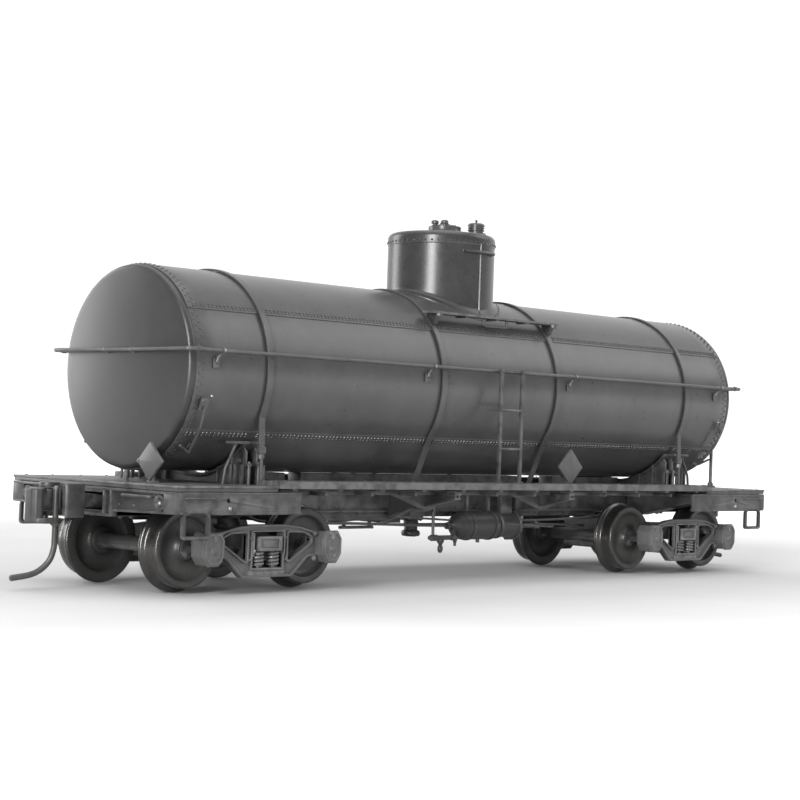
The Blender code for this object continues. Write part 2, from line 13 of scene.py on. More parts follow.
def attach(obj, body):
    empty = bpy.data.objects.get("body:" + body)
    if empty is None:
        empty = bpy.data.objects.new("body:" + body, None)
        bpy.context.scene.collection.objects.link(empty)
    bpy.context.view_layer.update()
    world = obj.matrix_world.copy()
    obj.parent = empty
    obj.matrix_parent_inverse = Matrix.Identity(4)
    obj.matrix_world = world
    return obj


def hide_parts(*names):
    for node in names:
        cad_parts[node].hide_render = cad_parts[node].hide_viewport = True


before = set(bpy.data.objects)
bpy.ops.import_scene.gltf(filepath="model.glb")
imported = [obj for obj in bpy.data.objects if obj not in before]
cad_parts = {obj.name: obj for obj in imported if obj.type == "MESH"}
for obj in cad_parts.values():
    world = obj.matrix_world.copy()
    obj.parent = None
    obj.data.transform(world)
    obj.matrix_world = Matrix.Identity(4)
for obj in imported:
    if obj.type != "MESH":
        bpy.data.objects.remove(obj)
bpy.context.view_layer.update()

MM = 0.001
rnd = random.Random(87)

TANK_R, TANK_MID_R, TANK_Z, TANK_HALF = 12.80, 12.66, 27.38, 54.85
SEAM_UP, SEAM_DOWN = 33.6, 36.4
BAND_X = (-43.40, -12.05, 12.05, 43.40)
TRUCK_X, AXLE_DX, AXLE_Z = 43.44, 9.60, 5.45


# ------------------------------------------------------------------ materials
def nodes_of(name):
    m = bpy.data.materials.new(name)
    m.use_nodes = True
    nt = m.node_tree
    for n in list(nt.nodes):
        nt.nodes.remove(n)
    return m, nt


class Net:
    """Small helper that adds and links shader nodes."""

    def __init__(self, nt):
        self.nt = nt

    def new(self, kind, **props):
        n = self.nt.nodes.new(kind)
        for k, v in props.items():
            setattr(n, k, v)
        return n

    def put(self, node, socket, value):
        if hasattr(value, "is_output"):
            self.nt.links.new(value, node.inputs[socket])
        else:
            node.inputs[socket].default_value = value

    def math(self, op, a, b=0.0, clamp=False):
        n = self.new("ShaderNodeMath", operation=op, use_clamp=clamp)
        self.put(n, 0, a)
        self.put(n, 1, b)
        return n.outputs[0]

    def noise(self, vec, scale, detail=3.0, rough=0.55):
        n = self.new("ShaderNodeTexNoise")
        self.put(n, "Vector", vec)
        self.put(n, "Scale", scale)
        self.put(n, "Detail", detail)
        self.put(n, "Roughness", rough)
        return n.outputs["Fac"]

    def stretch(self, vec, s):
        n = self.new("ShaderNodeMapping")
        self.put(n, "Vector", vec)
        n.inputs["Scale"].default_value = s
        return n.outputs["Vector"]

    def span(self, value, lo, hi, to_lo=0.0, to_hi=1.0):
        n = self.new("ShaderNodeMapRange", clamp=True)
        self.put(n, "Value", value)
        self.put(n, "From Min", lo)
        self.put(n, "From Max", hi)
        self.put(n, "To Min", to_lo)
        self.put(n, "To Max", to_hi)
        return n.outputs["Result"]

    def mix(self, fac, a, b):
        n = self.new("ShaderNodeMix", data_type="RGBA", blend_type="MIX")
        self.put(n, "Factor", fac)
        for s, v in ((6, a), (7, b)):
            if hasattr(v, "is_output"):
                self.nt.links.new(v, n.inputs[s])
            else:
                n.inputs[s].default_value = (*v, 1.0)
        return n.outputs[2]


def paint(name, base, light, rough, metal=0.0, rough_var=0.10, dust=0.10, dust_rgb=(0.20, 0.195, 0.19),
          edge_wear_and_sheen=0.35, edge_wear_and_sheen_rgb=(0.16, 0.16, 0.162), grain=1.0, bump=0.10, streak=0.25, up=True, coat=0.0,
          spec=0.5):
    """Sprayed finish: broad mottling, fine speckle, streaks that run down, dust
    on what faces up, paler edges (partly wear, partly a painted highlight), and a fine orange-peel bump."""
    m, nt = nodes_of(name)
    k = Net(nt)
    co = k.new("ShaderNodeTexCoord").outputs["Object"]
    broad = k.noise(co, 140.0 * grain, 4.0)
    blotch = k.noise(co, 620.0 * grain, 3.0)
    speck = k.noise(co, 4200.0 * grain, 2.0, 0.7)
    runs = k.noise(k.stretch(co, (1.0, 1.0, 0.12)), 900.0 * grain, 3.0)
    tone = k.math("ADD", k.math("MULTIPLY", broad, 0.45), k.math("MULTIPLY", blotch, 0.35))
    tone = k.math("ADD", tone, k.math("MULTIPLY", speck, 0.20))
    tone = k.span(tone, 0.36, 0.66)
    rgb = k.mix(tone, base, light)
    if streak:
        s = k.span(runs, 0.50, 0.78, 0.0, streak)
        rgb = k.mix(s, rgb, tuple(min(1.0, c * 1.9 + 0.01) for c in light))
    geo = k.new("ShaderNodeNewGeometry")
    # paler edges from pointiness: partly wear, partly a painted highlight standing in for sheen along edges
    if edge_wear_and_sheen:
        e = k.span(geo.outputs["Pointiness"], 0.53, 0.62, 0.0, edge_wear_and_sheen)
        e = k.math("MULTIPLY", e, k.span(blotch, 0.35, 0.60))
        rgb = k.mix(e, rgb, edge_wear_and_sheen_rgb)
    rough_out = k.math("ADD", rough - rough_var / 2, k.math("MULTIPLY", blotch, rough_var))
    if dust:
        if up:
            sep = k.new("ShaderNodeSeparateXYZ")
            nt.links.new(geo.outputs["Normal"], sep.inputs[0])
            facing = k.span(sep.outputs["Z"], 0.15, 0.95)
        else:
            facing = 0.6
        d = k.math("MULTIPLY", k.math("MULTIPLY", k.span(speck, 0.40, 0.72), k.span(broad, 0.30, 0.65)), facing)
        d = k.math("MULTIPLY", d, dust, clamp=True)
        rgb = k.mix(d, rgb, dust_rgb)
        rough_out = k.math("ADD", rough_out, k.math("MULTIPLY", d, 0.35), clamp=True)
    peel = k.noise(co, 5200.0, 2.0, 0.6)
    grit = k.noise(co, 16000.0, 1.0, 0.5)
    height = k.math("ADD", k.math("MULTIPLY", peel, 0.7), k.math("MULTIPLY", grit, 0.3))
    b = k.new("ShaderNodeBump")
    b.inputs["Strength"].default_value = bump
    b.inputs["Distance"].default_value = 0.00006
    nt.links.new(height, b.inputs["Height"])
    bs = k.new("ShaderNodeBsdfPrincipled")
    nt.links.new(rgb, bs.inputs["Base Color"])
    nt.links.new(rough_out, bs.inputs["Roughness"])
    bs.inputs["Metallic"].default_value = metal
    bs.inputs["Specular IOR Level"].default_value = spec
    if coat:
        bs.inputs["Coat Weight"].default_value = coat
        bs.inputs["Coat Roughness"].default_value = 0.22
    nt.links.new(b.outputs["Normal"], bs.inputs["Normal"])
    out = k.new("ShaderNodeOutputMaterial")
    nt.links.new(bs.outputs[0], out.inputs[0])
    return m


M_TANK = paint("tank_semi_gloss", (0.036, 0.036, 0.037), (0.052, 0.052, 0.053), 0.29, rough_var=0.08,
               dust=0.10, edge_wear_and_sheen=0.0, streak=0.10, bump=0.06)
# the tank paint made darker for the dome: painted shade
M_DOME_SHADE_DARKENED = paint("dome_paint_darkened_as_painted_shade", (0.017, 0.017, 0.018), (0.028, 0.028, 0.029), 0.28, rough_var=0.08,
               dust=0.10, edge_wear_and_sheen=0.0, streak=0.10, bump=0.06)
# the tank paint made darker for the two heads: painted shade on the end faces
M_HEAD_SHADE_DARKENED = paint("head_paint_darkened_as_painted_shade", (0.015, 0.015, 0.016), (0.023, 0.023, 0.024), 0.36, rough_var=0.08,
               dust=0.06, edge_wear_and_sheen=0.0, streak=0.05, bump=0.06)
# satin black for the frame and fittings, set a step darker than the tank paint as painted shade under the car
M_FRAME = paint("frame_satin_darkened_as_painted_shade", (0.019, 0.019, 0.020), (0.033, 0.033, 0.033), 0.42, dust=0.14, edge_wear_and_sheen=0.40,
                streak=0.08, bump=0.12)
M_DECK = paint("deck_satin", (0.030, 0.030, 0.029), (0.050, 0.050, 0.049), 0.46, dust=0.26, edge_wear_and_sheen=0.60,
               streak=0.06, bump=0.12)
M_CARD = paint("board_satin", (0.044, 0.044, 0.045), (0.064, 0.064, 0.064), 0.42, dust=0.14, edge_wear_and_sheen=0.40,
               streak=0.05)
M_PLASTIC = paint("truck_moulding", (0.058, 0.058, 0.058), (0.096, 0.095, 0.094), 0.44, dust=0.22,
                  edge_wear_and_sheen=0.70, edge_wear_and_sheen_rgb=(0.18, 0.18, 0.18), streak=0.05, bump=0.12)
M_SPRING = paint("spring_moulding", (0.07, 0.07, 0.07), (0.12, 0.12, 0.12), 0.38, metal=0.2, dust=0.20, edge_wear_and_sheen=0.6,
                 streak=0.0)
M_WIRE = paint("wire_satin", (0.040, 0.040, 0.041), (0.070, 0.070, 0.071), 0.34, metal=0.25, dust=0.18,
               edge_wear_and_sheen=0.40, streak=0.0, bump=0.06)
# pale, near-bare metal for a few bolt and rivet heads, which show as bright spots
M_BRIGHT = paint("pale_bolt_metal", (0.22, 0.22, 0.22), (0.42, 0.42, 0.42), 0.30, metal=0.8, dust=0.20,
                 edge_wear_and_sheen=0.5, edge_wear_and_sheen_rgb=(0.6, 0.6, 0.6), streak=0.0)
M_TREAD = paint("wheel_blackened", (0.055, 0.053, 0.052), (0.10, 0.098, 0.095), 0.24, metal=0.80, up=False,
                dust=0.12, edge_wear_and_sheen=0.5, edge_wear_and_sheen_rgb=(0.30, 0.30, 0.30), streak=0.0)
M_WHEEL = paint("wheel_face", (0.028, 0.028, 0.027), (0.052, 0.051, 0.050), 0.40, metal=0.20, up=False,
                dust=0.18, edge_wear_and_sheen=0.5, edge_wear_and_sheen_rgb=(0.20, 0.20, 0.20), streak=0.0)
M_COUPLER = paint("coupler_oxide", (0.032, 0.031, 0.031), (0.060, 0.058, 0.056), 0.42, metal=0.30, dust=0.20,
                  edge_wear_and_sheen=0.8, edge_wear_and_sheen_rgb=(0.22, 0.22, 0.22), streak=0.0, bump=0.14)
M_STEEL = paint("ballast_plain_steel", (0.28, 0.28, 0.29), (0.42, 0.42, 0.43), 0.42, metal=1.0, dust=0.1,
                edge_wear_and_sheen=0.4, streak=0.2)


# --------------------------------------------------------- shapes: (verts, faces)
def frame_to(pos, normal, roll=0.0):
    z = Vector(normal).normalized()
    h = Vector((0, 0, 1)) if abs(z.z) < 0.9 else Vector((1, 0, 0))
    x = h.cross(z).normalized()
    y = z.cross(x)
    m = Matrix((x, y, z)).transposed().to_4x4()
    m.translation = Vector(pos)
    return m @ Matrix.Rotation(roll, 4, "Z")


def moved(vf, matrix):
    return [tuple(matrix @ Vector(v)) for v in vf[0]], vf[1]


def turned(parts):
    return [([(-x, -y, z) for x, y, z in v], f) for v, f in parts]


def flip_x(parts):
    return [([(-x, y, z) for x, y, z in v], f) for v, f in parts]


def flip_y(parts):
    return [([(x, -y, z) for x, y, z in v], f) for v, f in parts]


def out_of(bm):
    bm.verts.index_update()
    v = [tuple(x.co) for x in bm.verts]
    f = [[q.index for q in fc.verts] for fc in bm.faces]
    bm.free()
    return v, f


def lathe(profile, centre=(0, 0, 0), axis="Z", seg=48, radial=None):
    """Turned shape from (radius, height) pairs; radius 0 makes a pole."""
    verts, rings = [], []
    for r, h in profile:
        if r <= 1e-6:
            verts.append((0.0, 0.0, h))
            rings.append([len(verts) - 1])
        else:
            ring = []
            for i in range(seg):
                a = 2 * math.pi * i / seg
                rr = r if radial is None else r + radial(a, r, h)
                ring.append(len(verts))
                verts.append((rr * math.cos(a), rr * math.sin(a), h))
            rings.append(ring)
    faces = []
    for p, q in zip(rings, rings[1:]):
        for i in range(seg):
            j = (i + 1) % seg
            if len(p) == 1 and len(q) > 1:
                faces.append([p[0], q[i], q[j]])
            elif len(q) == 1 and len(p) > 1:
                faces.append([p[i], p[j], q[0]])
            elif len(p) > 1:
                faces.append([p[i], p[j], q[j], q[i]])
    if len(rings[0]) > 1:
        faces.append(list(rings[0]))
    if len(rings[-1]) > 1:
        faces.append(list(rings[-1]))
    cx, cy, cz = centre
    if axis == "Z":
        verts = [(x + cx, y + cy, z + cz) for x, y, z in verts]
    elif axis == "X":
        verts = [(z + cx, x + cy, y + cz) for x, y, z in verts]
    else:
        verts = [(y + cx, z + cy, x + cz) for x, y, z in verts]
    return verts, faces


def block(lo, hi, bevel=0.06, seg=2):
    bm = bmesh.new()
    bmesh.ops.create_cube(bm, size=1.0)
    lo, hi = Vector(lo), Vector(hi)
    bmesh.ops.scale(bm, vec=hi - lo, verts=bm.verts)
    bmesh.ops.translate(bm, vec=(hi + lo) / 2, verts=bm.verts)
    b = min(bevel, min(hi - lo) * 0.45)
    if b > 0:
        bmesh.ops.bevel(bm, geom=list(bm.edges), offset=b, segments=seg, profile=0.5, affect="EDGES")
    return out_of(bm)


def slab(loops, lo, hi, plane="XY", bevel=0.06, res=1):
    """Flat outline with holes and rounded edges, between two levels."""
    t = abs(hi - lo)
    b = min(bevel, t * 0.45)
    data = bpy.data.curves.new("outline", "CURVE")
    data.dimensions = "2D"
    data.fill_mode = "BOTH"
    data.extrude = t / 2 - b
    data.bevel_depth = b
    data.bevel_resolution = res
    data.offset = -b
    for loop in loops:
        sp = data.splines.new("POLY")
        sp.points.add(len(loop) - 1)
        for p, (u, v) in zip(sp.points, loop):
            p.co = (u, v, 0, 1)
        sp.use_cyclic_u = True
    ob = bpy.data.objects.new("outline", data)
    bpy.context.scene.collection.objects.link(ob)
    dg = bpy.context.evaluated_depsgraph_get()
    dg.update()
    me = bpy.data.meshes.new_from_object(ob.evaluated_get(dg))
    bm = bmesh.new()
    bm.from_mesh(me)
    bmesh.ops.remove_doubles(bm, verts=bm.verts, dist=0.0005)
    bpy.data.objects.remove(ob)
    bpy.data.curves.remove(data)
    bpy.data.meshes.remove(me)
    v, f = out_of(bm)
    mid = (lo + hi) / 2
    if plane == "XY":
        v = [(x, y, z + mid) for x, y, z in v]
    elif plane == "XZ":
        v = [(x, z + mid, y) for x, y, z in v]
    else:
        v = [(z + mid, x, y) for x, y, z in v]
    return v, f


def fillet(poly, r, n=4):
    """The outline with its corners rounded."""
    out = []
    count = len(poly)
    for i in range(count):
        p = Vector(poly[i])
        a = Vector(poly[i - 1]) - p
        b = Vector(poly[(i + 1) % count]) - p
        la, lb = a.length, b.length
        if la < 1e-6 or lb < 1e-6:
            continue
        a.normalize()
        b.normalize()
        ang = math.acos(max(-1.0, min(1.0, a.dot(b))))
        if ang > math.radians(172) or r <= 0:
            out.append(tuple(p))
            continue
        d = min(r / math.tan(ang / 2), 0.45 * la, 0.45 * lb)
        rr = d * math.tan(ang / 2)
        c = p + (a + b).normalized() * (rr / math.sin(ang / 2))
        s, e = p + a * d - c, p + b * d - c
        a0 = math.atan2(s.y, s.x)
        a1 = math.atan2(e.y, e.x)
        da = (a1 - a0 + math.pi) % (2 * math.pi) - math.pi
        for k in range(n + 1):
            t = a0 + da * k / n
            out.append((c.x + rr * math.cos(t), c.y + rr * math.sin(t)))
    return out


def inset(poly, d):
    """Outline moved inwards by d (outwards when d is negative)."""
    area = sum(p[0] * q[1] - q[0] * p[1] for p, q in zip(poly, poly[1:] + poly[:1]))
    s = 1.0 if area > 0 else -1.0
    out = []
    n = len(poly)
    for i in range(n):
        p0, p1, p2 = Vector(poly[i - 1]), Vector(poly[i]), Vector(poly[(i + 1) % n])
        e1, e2 = (p1 - p0).normalized(), (p2 - p1).normalized()
        n1, n2 = Vector((-e1.y, e1.x)) * s, Vector((-e2.y, e2.x)) * s
        m = (n1 + n2)
        if m.length < 1e-6:
            out.append(tuple(p1 + n1 * d))
            continue
        m.normalize()
        c = max(0.4, m.dot(n1))
        out.append(tuple(p1 + m * (d / c)))
    return out


def arc(cx, cy, r, a0, a1, n):
    return [(cx + r * math.cos(math.radians(a0 + (a1 - a0) * i / n)),
             cy + r * math.sin(math.radians(a0 + (a1 - a0) * i / n))) for i in range(n + 1)]


def route(points, n=6):
    """Catmull-Rom curve through the points."""
    pts = [Vector(p) for p in points]
    pts = [2 * pts[0] - pts[1]] + pts + [2 * pts[-1] - pts[-2]]
    out = []
    for i in range(1, len(pts) - 2):
        p0, p1, p2, p3 = pts[i - 1:i + 3]
        for k in range(n):
            t = k / n
            out.append(0.5 * ((2 * p1) + (p2 - p0) * t + (2 * p0 - 5 * p1 + 4 * p2 - p3) * t * t
                              + (3 * p1 - p0 - 3 * p2 + p3) * t ** 3))
    out.append(pts[-2])
    return out


def bend(points, r=0.5, n=5):
    """Straight runs with rounded corners, for bent wire and pipe."""
    pts = [Vector(p) for p in points]
    out = [pts[0]]
    for i in range(1, len(pts) - 1):
        p, a, b = pts[i], pts[i - 1] - pts[i], pts[i + 1] - pts[i]
        d = min(r, 0.45 * a.length, 0.45 * b.length)
        s, e = p + a.normalized() * d, p + b.normalized() * d
        for k in range(n + 1):
            t = k / n
            out.append(s * (1 - t) ** 2 + p * 2 * t * (1 - t) + e * t * t)
    out.append(pts[-1])
    return out


def tube(points, r, sides=10, cap=0.35):
    """Round wire; r is a number or one radius for each point; ends are eased."""
    pts = [Vector(p) for p in points]
    rs = list(r) if hasattr(r, "__len__") else [r] * len(pts)
    if cap:
        a, b = (pts[0] - pts[1]).normalized(), (pts[-1] - pts[-2]).normalized()
        pts = [pts[0] + a * rs[0] * cap * 0.0] + pts + [pts[-1]]
        pts[0], pts[1] = pts[1], pts[1] - a * rs[0] * cap
        pts[-1], pts[-2] = pts[-2], pts[-2] - b * rs[-1] * cap
        rs = [rs[0] * (1 - cap)] + rs + [rs[-1] * (1 - cap)]
    t0 = (pts[1] - pts[0]).normalized()
    ref = Vector((0, 0, 1)) if abs(t0.z) < 0.9 else Vector((0, 1, 0))
    x = ref.cross(t0).normalized()
    verts, faces = [], []
    n = len(pts)
    for i, p in enumerate(pts):
        t = (pts[min(i + 1, n - 1)] - pts[max(i - 1, 0)]).normalized()
        x = (x - t * x.dot(t)).normalized()
        y = t.cross(x)
        for k in range(sides):
            a = 2 * math.pi * k / sides
            verts.append(tuple(p + (x * math.cos(a) + y * math.sin(a)) * rs[i]))
    for i in range(n - 1):
        for k in range(sides):
            q = (k + 1) % sides
            faces.append([i * sides + k, i * sides + q, (i + 1) * sides + q, (i + 1) * sides + k])
    faces.append(list(range(sides)))
    faces.append([(n - 1) * sides + k for k in range(sides)])
    return verts, faces


def rod(p, q, r, sides=14, cap=0.25):
    return tube([p, q], r, sides, cap)


def rivet(pos, normal, r=0.17, h=0.12, n=7):
    """Round-headed rivet, sunk a little into what it sits on."""
    prof = [(r, -0.06), (r, h * 0.25), (r * 0.80, h * 0.72), (r * 0.40, h * 0.97), (0.0, h)]
    return moved(lathe(prof, seg=n), frame_to(pos, normal))


def bolt(pos, normal, r=0.30, h=0.26, roll=0.3, washer=True, stud=0.12):
    """Hexagon nut on a washer with the stud end showing."""
    prof = [(r, -0.05), (r, h * 0.82), (r * 0.84, h)]
    parts = [lathe(prof, seg=6)]
    if stud:
        parts.append(lathe([(r * 0.5, 0.0), (r * 0.5, h + stud * 0.7), (r * 0.34, h + stud)], seg=8))
    if washer:
        parts.append(lathe([(r * 1.32, -0.05), (r * 1.32, 0.045), (r * 1.22, 0.07)], seg=14))
    m = frame_to(pos, normal, roll)
    return [moved(p, m) for p in parts]


def spring(centre, height, r, wire, turns, sides=7):
    cx, cy, z0 = centre
    n = int(turns * 14)
    pts = []
    for i in range(n + 1):
        t = i / n
        a = 2 * math.pi * turns * t
        pts.append((cx + r * math.cos(a), cy + r * math.sin(a), z0 + wire + (height - 2 * wire) * t))
    return tube(pts, wire, sides, 0.25)


# ------------------------------------------------------------------- pieces
def piece(name, groups, body, nodes=(), shade=38.0):
    """One object: groups are (material, parts); its mesh is in the row frame."""
    verts, faces, index = [], [], []
    mats = []
    for mat, parts in groups:
        mats.append(mat)
        for v, f in parts:
            o = len(verts)
            verts.extend((x * MM, y * MM, z * MM) for x, y, z in v)
            for fc in f:
                faces.append([i + o for i in fc])
                index.append(len(mats) - 1)
    me = bpy.data.meshes.new(name)
    me.from_pydata(verts, [], faces)
    me.polygons.foreach_set("material_index", index)
    for m in mats:
        me.materials.append(m)
    bm = bmesh.new()
    bm.from_mesh(me)
    bmesh.ops.recalc_face_normals(bm, faces=bm.faces)
    bmesh.ops.triangulate(bm, faces=[f for f in bm.faces if len(f.verts) > 12])
    bm.to_mesh(me)
    bm.free()
    me.shade_smooth()
    me.set_sharp_from_angle(angle=math.radians(shade))
    ob = bpy.data.objects.new(name, me)
    bpy.context.scene.collection.objects.link(ob)
    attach(ob, body)
    if nodes:
        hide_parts(*nodes)
    return ob


def each(groups, how):
    return [(m, how(p)) for m, p in groups]


def flat(items):
    out = []
    for i in items:
        if isinstance(i, list):
            out.extend(flat(i))
        else:
            out.append(i)
    return out


# ============================================================ tank barrel
def on_tank(x, deg, r=TANK_R):
    a = math.radians(deg)
    return (x, r * math.cos(a), TANK_Z + r * math.sin(a)), (0, math.cos(a), math.sin(a))


def barrel():
    """Three sheets: the top and bottom ones lap over the side sheets."""
    ring = []
    seams = (SEAM_UP, 180.0 - SEAM_UP, 180.0 + SEAM_DOWN, 360.0 - SEAM_DOWN)

    def rad(a):
        return TANK_R if seams[0] <= a <= seams[1] or seams[2] <= a <= seams[3] else TANK_MID_R
    a = 0.0
    while a < 360.0 - 1e-6:
        if min(abs(a - s) for s in seams) > 1.0:
            ring.append((a, rad(a)))
        a += 1.5
    for s in seams:
        up = 1 if s in (seams[0], seams[2]) else -1      # towards the outer sheet
        ring += [(s - 0.34 * up, TANK_MID_R), (s - 0.10 * up, TANK_MID_R + 0.004),
                 (s - 0.02 * up, TANK_R - 0.035), (s + 0.12 * up, TANK_R - 0.004),
                 (s + 0.40 * up, TANK_R)]
    ring.sort()
    xs = [(-TANK_HALF, -0.10), (-TANK_HALF + 0.03, -0.03), (-TANK_HALF + 0.10, 0.0)]
    n = 36
    xs += [(-TANK_HALF + 0.10 + (2 * TANK_HALF - 0.2) * i / n, 0.0) for i in range(1, n)]
    xs += [(TANK_HALF - 0.10, 0.0), (TANK_HALF - 0.03, -0.03), (TANK_HALF, -0.10)]
    verts, faces = [], []
    m = len(ring)
    for x, dr in xs:
        for deg, r in ring:
            t = math.radians(deg)
            verts.append((x, (r + dr) * math.cos(t), TANK_Z + (r + dr) * math.sin(t)))
    for i in range(len(xs) - 1):
        for k in range(m):
            q = (k + 1) % m
            faces.append([i * m + k, i * m + q, (i + 1) * m + q, (i + 1) * m + k])
    faces.append(list(range(m)))
    faces.append([(len(xs) - 1) * m + k for k in range(m)])
    return verts, faces


def seam_rivets():
    out = []
    pitch = 0.62
    count = int(107.8 / pitch)
    for side in (0, 1):
        for base in (SEAM_UP, -SEAM_DOWN):
            s = 1 if base > 0 else -1
            for row in (0.38, 0.72):
                deg = base + s * math.degrees(row / TANK_R)
                if side:
                    deg = 180 - deg
                for i in range(count + 1):
                    x = -53.9 + 107.8 * i / count
                    if min(abs(x - b) for b in BAND_X) < 0.62:
                        continue
                    p, nrm = on_tank(x, deg)
                    out.append(rivet(p, nrm, 0.175, 0.14, 6))
    n = 94
    for x0 in (-1, 1):
        for row, (dx, shift) in enumerate(((0.42, 0.0), (0.98, 0.5))):
            for i in range(n):
                deg = 360.0 * (i + shift) / n
                mid = deg < SEAM_UP or deg > 360 - SEAM_DOWN or 180 - SEAM_UP < deg < 180 + SEAM_DOWN
                r = TANK_MID_R if mid else TANK_R
                p, nrm = on_tank(x0 * (TANK_HALF - dx), deg, r)
                out.append(rivet(p, nrm, 0.165, 0.11, 7))
    return out


piece("tank_shell", [(M_TANK, [barrel()] + seam_rivets())], "root", ["tank_barrel"], 30)


def head():
    """Dished head with a small knuckle radius; the +X end."""
    prof = [(12.45, TANK_HALF + 0.02), (12.62, TANK_HALF + 0.05), (12.64, TANK_HALF + 0.12),
            (12.64, TANK_HALF + 0.36)]
    for i in range(1, 10):                        # knuckle
        t = math.radians(90 * i / 9 * 0.92)
        prof.append((12.02 + 0.62 * math.cos(t), TANK_HALF + 0.36 + 0.62 * math.sin(t)))
    x0 = prof[-1][1]
    r0 = prof[-1][0]
    for i in range(1, 25):
        r = r0 * (1 - i / 24)
        prof.append((r, x0 + (56.65 - x0) * (1 - (r / r0) ** 2)))
    return lathe(prof, (0, 0, TANK_Z), "X", 180)


HEAD = [(M_HEAD_SHADE_DARKENED, [head()])]
piece("tank_head_far_end", HEAD, "root", ["tank_head_b"], 40)
piece("tank_head_near_end", each(HEAD, turned), "root", ["tank_head_a"], 40)

# ============================================================ hold-down bands
def strap(x, outer_band):
    ri, ro = TANK_R + 0.03, TANK_R + 0.31
    a = -26.0 if outer_band else -36.0
    foot_y, foot_z = (11.75, 12.62) if outer_band else (7.15, 12.62)
    top = arc(0, TANK_Z, ro, a, 180 - a, 110)
    low = arc(0, TANK_Z, ri, 180 - a, a, 110)
    grow = 0.28 if outer_band else 0.33
    if outer_band:                               # strap ends above the saddle and a rod goes on down
        zt = 17.7
        (yo, zo), (yi, zi) = top[0], low[-1]
        ko, ki = (zo - zt) / (zo - foot_z), (zi - zt) / (zi - foot_z)
        eo, ei = yo + (foot_y + grow - yo) * ko, yi + (foot_y - yi) * ki
        loop = [(eo, zt)] + top + [(-eo, zt), (-ei, zt)] + low + [(ei, zt)]
    else:
        loop = [(foot_y + grow, foot_z)] + top + [(-foot_y - grow, foot_z), (-foot_y, foot_z)] + low + [(foot_y, foot_z)]
    parts = [slab([loop], x - 0.45, x + 0.45, "YZ", 0.03, 0)]
    for s in (-1, 1):
        if outer_band:
            yt = s * (eo + ei) / 2
            yb = s * (foot_y + grow / 2)
            parts.append(block((x - 0.55, min(yt - 0.30, yt + 0.30), 17.1), (x + 0.55, max(yt - 0.30, yt + 0.30), 18.0), 0.08))
            parts.append(rod((x, yt, 17.4), (x, yb, 12.9), 0.24, 12))
            parts.append(lathe([(0.42, -0.2), (0.42, 0.28), (0.34, 0.36)], (x, yt, 16.75), "Z", 6))
            parts.append(lathe([(0.55, -0.2), (0.55, 0.35), (0.45, 0.42)], (x, yb, 13.0), "Z", 6))
        else:
            yb = s * (foot_y + grow / 2)
            parts.append(block((x - 0.75, yb - 0.45, 12.60), (x + 0.75, yb + 0.45, 13.05), 0.07))
            p, nrm = on_tank(x, -8 if s > 0 else 188, ro)
    return parts


for i, x in enumerate(BAND_X):
    piece("hold_down_band_%d" % (i + 1), [(M_TANK, strap(x, i in (0, 3)))], "root",
          ["tank_band_%d" % (i + 1)], 25)


# ============================================================ dome
def dome_body():
    seg = 144
    rows = []

    def lap(a):
        """The sheet's lapped joint on the near side."""
        d = (math.degrees(a) - 270.0 + 180) % 360 - 180
        if -0.2 <= d <= 8.5:
            return 0.17
        if -0.9 < d < -0.2:
            return 0.17 * (d + 0.9) / 0.7
        if 8.5 < d < 9.2:
            return 0.17 * (9.2 - d) / 0.7
        return 0.0
    angles = [2 * math.pi * i / seg for i in range(seg)]
    extra = [math.radians(270 + d) for d in (-0.9, -0.2, 8.5, 9.2)]
    angles = sorted(angles + extra)
    zs = [47.62, 46.5, 45.0, 43.5, 42.2, 41.65]
    for z in zs:
        rows.append([((7.73 + lap(a)), a, z, None) for a in angles])

    def tank_z(r, a, rt=TANK_R):
        y = r * math.sin(a)
        return TANK_Z + math.sqrt(max(0.0, rt * rt - y * y))
    for i in range(0, 11):
        t = i / 10
        r = 7.73 + 1.12 * t ** 2.2
        off = 0.17 + 0.80 * (1 - t) ** 1.6
        rows.append([(r + lap(a) * (1 - t), a, min(41.65 - 0.001, tank_z(r, a) + off), None) for a in angles])
    for r, off in ((8.93, 0.10), (8.93, -0.15), (7.0, -0.6)):
        rows.append([(r, a, tank_z(min(r, 8.93), a) + off, None) for a in angles])
    verts, faces = [], []
    m = len(angles)
    for row in rows:
        for r, a, z, _ in row:
            verts.append((r * math.cos(a), r * math.sin(a), z))
    for i in range(len(rows) - 1):
        for k in range(m):
            q = (k + 1) % m
            faces.append([i * m + k, i * m + q, (i + 1) * m + q, (i + 1) * m + k])
    faces.append(list(range(m)))
    faces.append([(len(rows) - 1) * m + k for k in range(m)])
    return verts, faces


def dome_lid():
    prof = [(0.0, 49.65)]
    for i in range(1, 14):
        r = 6.75 * i / 13
        prof.append((r, 49.65 - 0.42 * (r / 6.75) ** 2))
    cz, cr, kr = 48.32, 6.90, 0.90
    for i in range(1, 9):
        t = math.radians(90 - 90 * i / 8)
        prof.append((cr + kr * math.cos(t), cz + kr * math.sin(t) * 0.98))
    prof += [(7.80, 48.0), (7.80, 47.46), (7.79, 47.40), (7.76, 47.36), (7.68, 47.36), (7.58, 47.46)]
    return lathe(prof, seg=120)


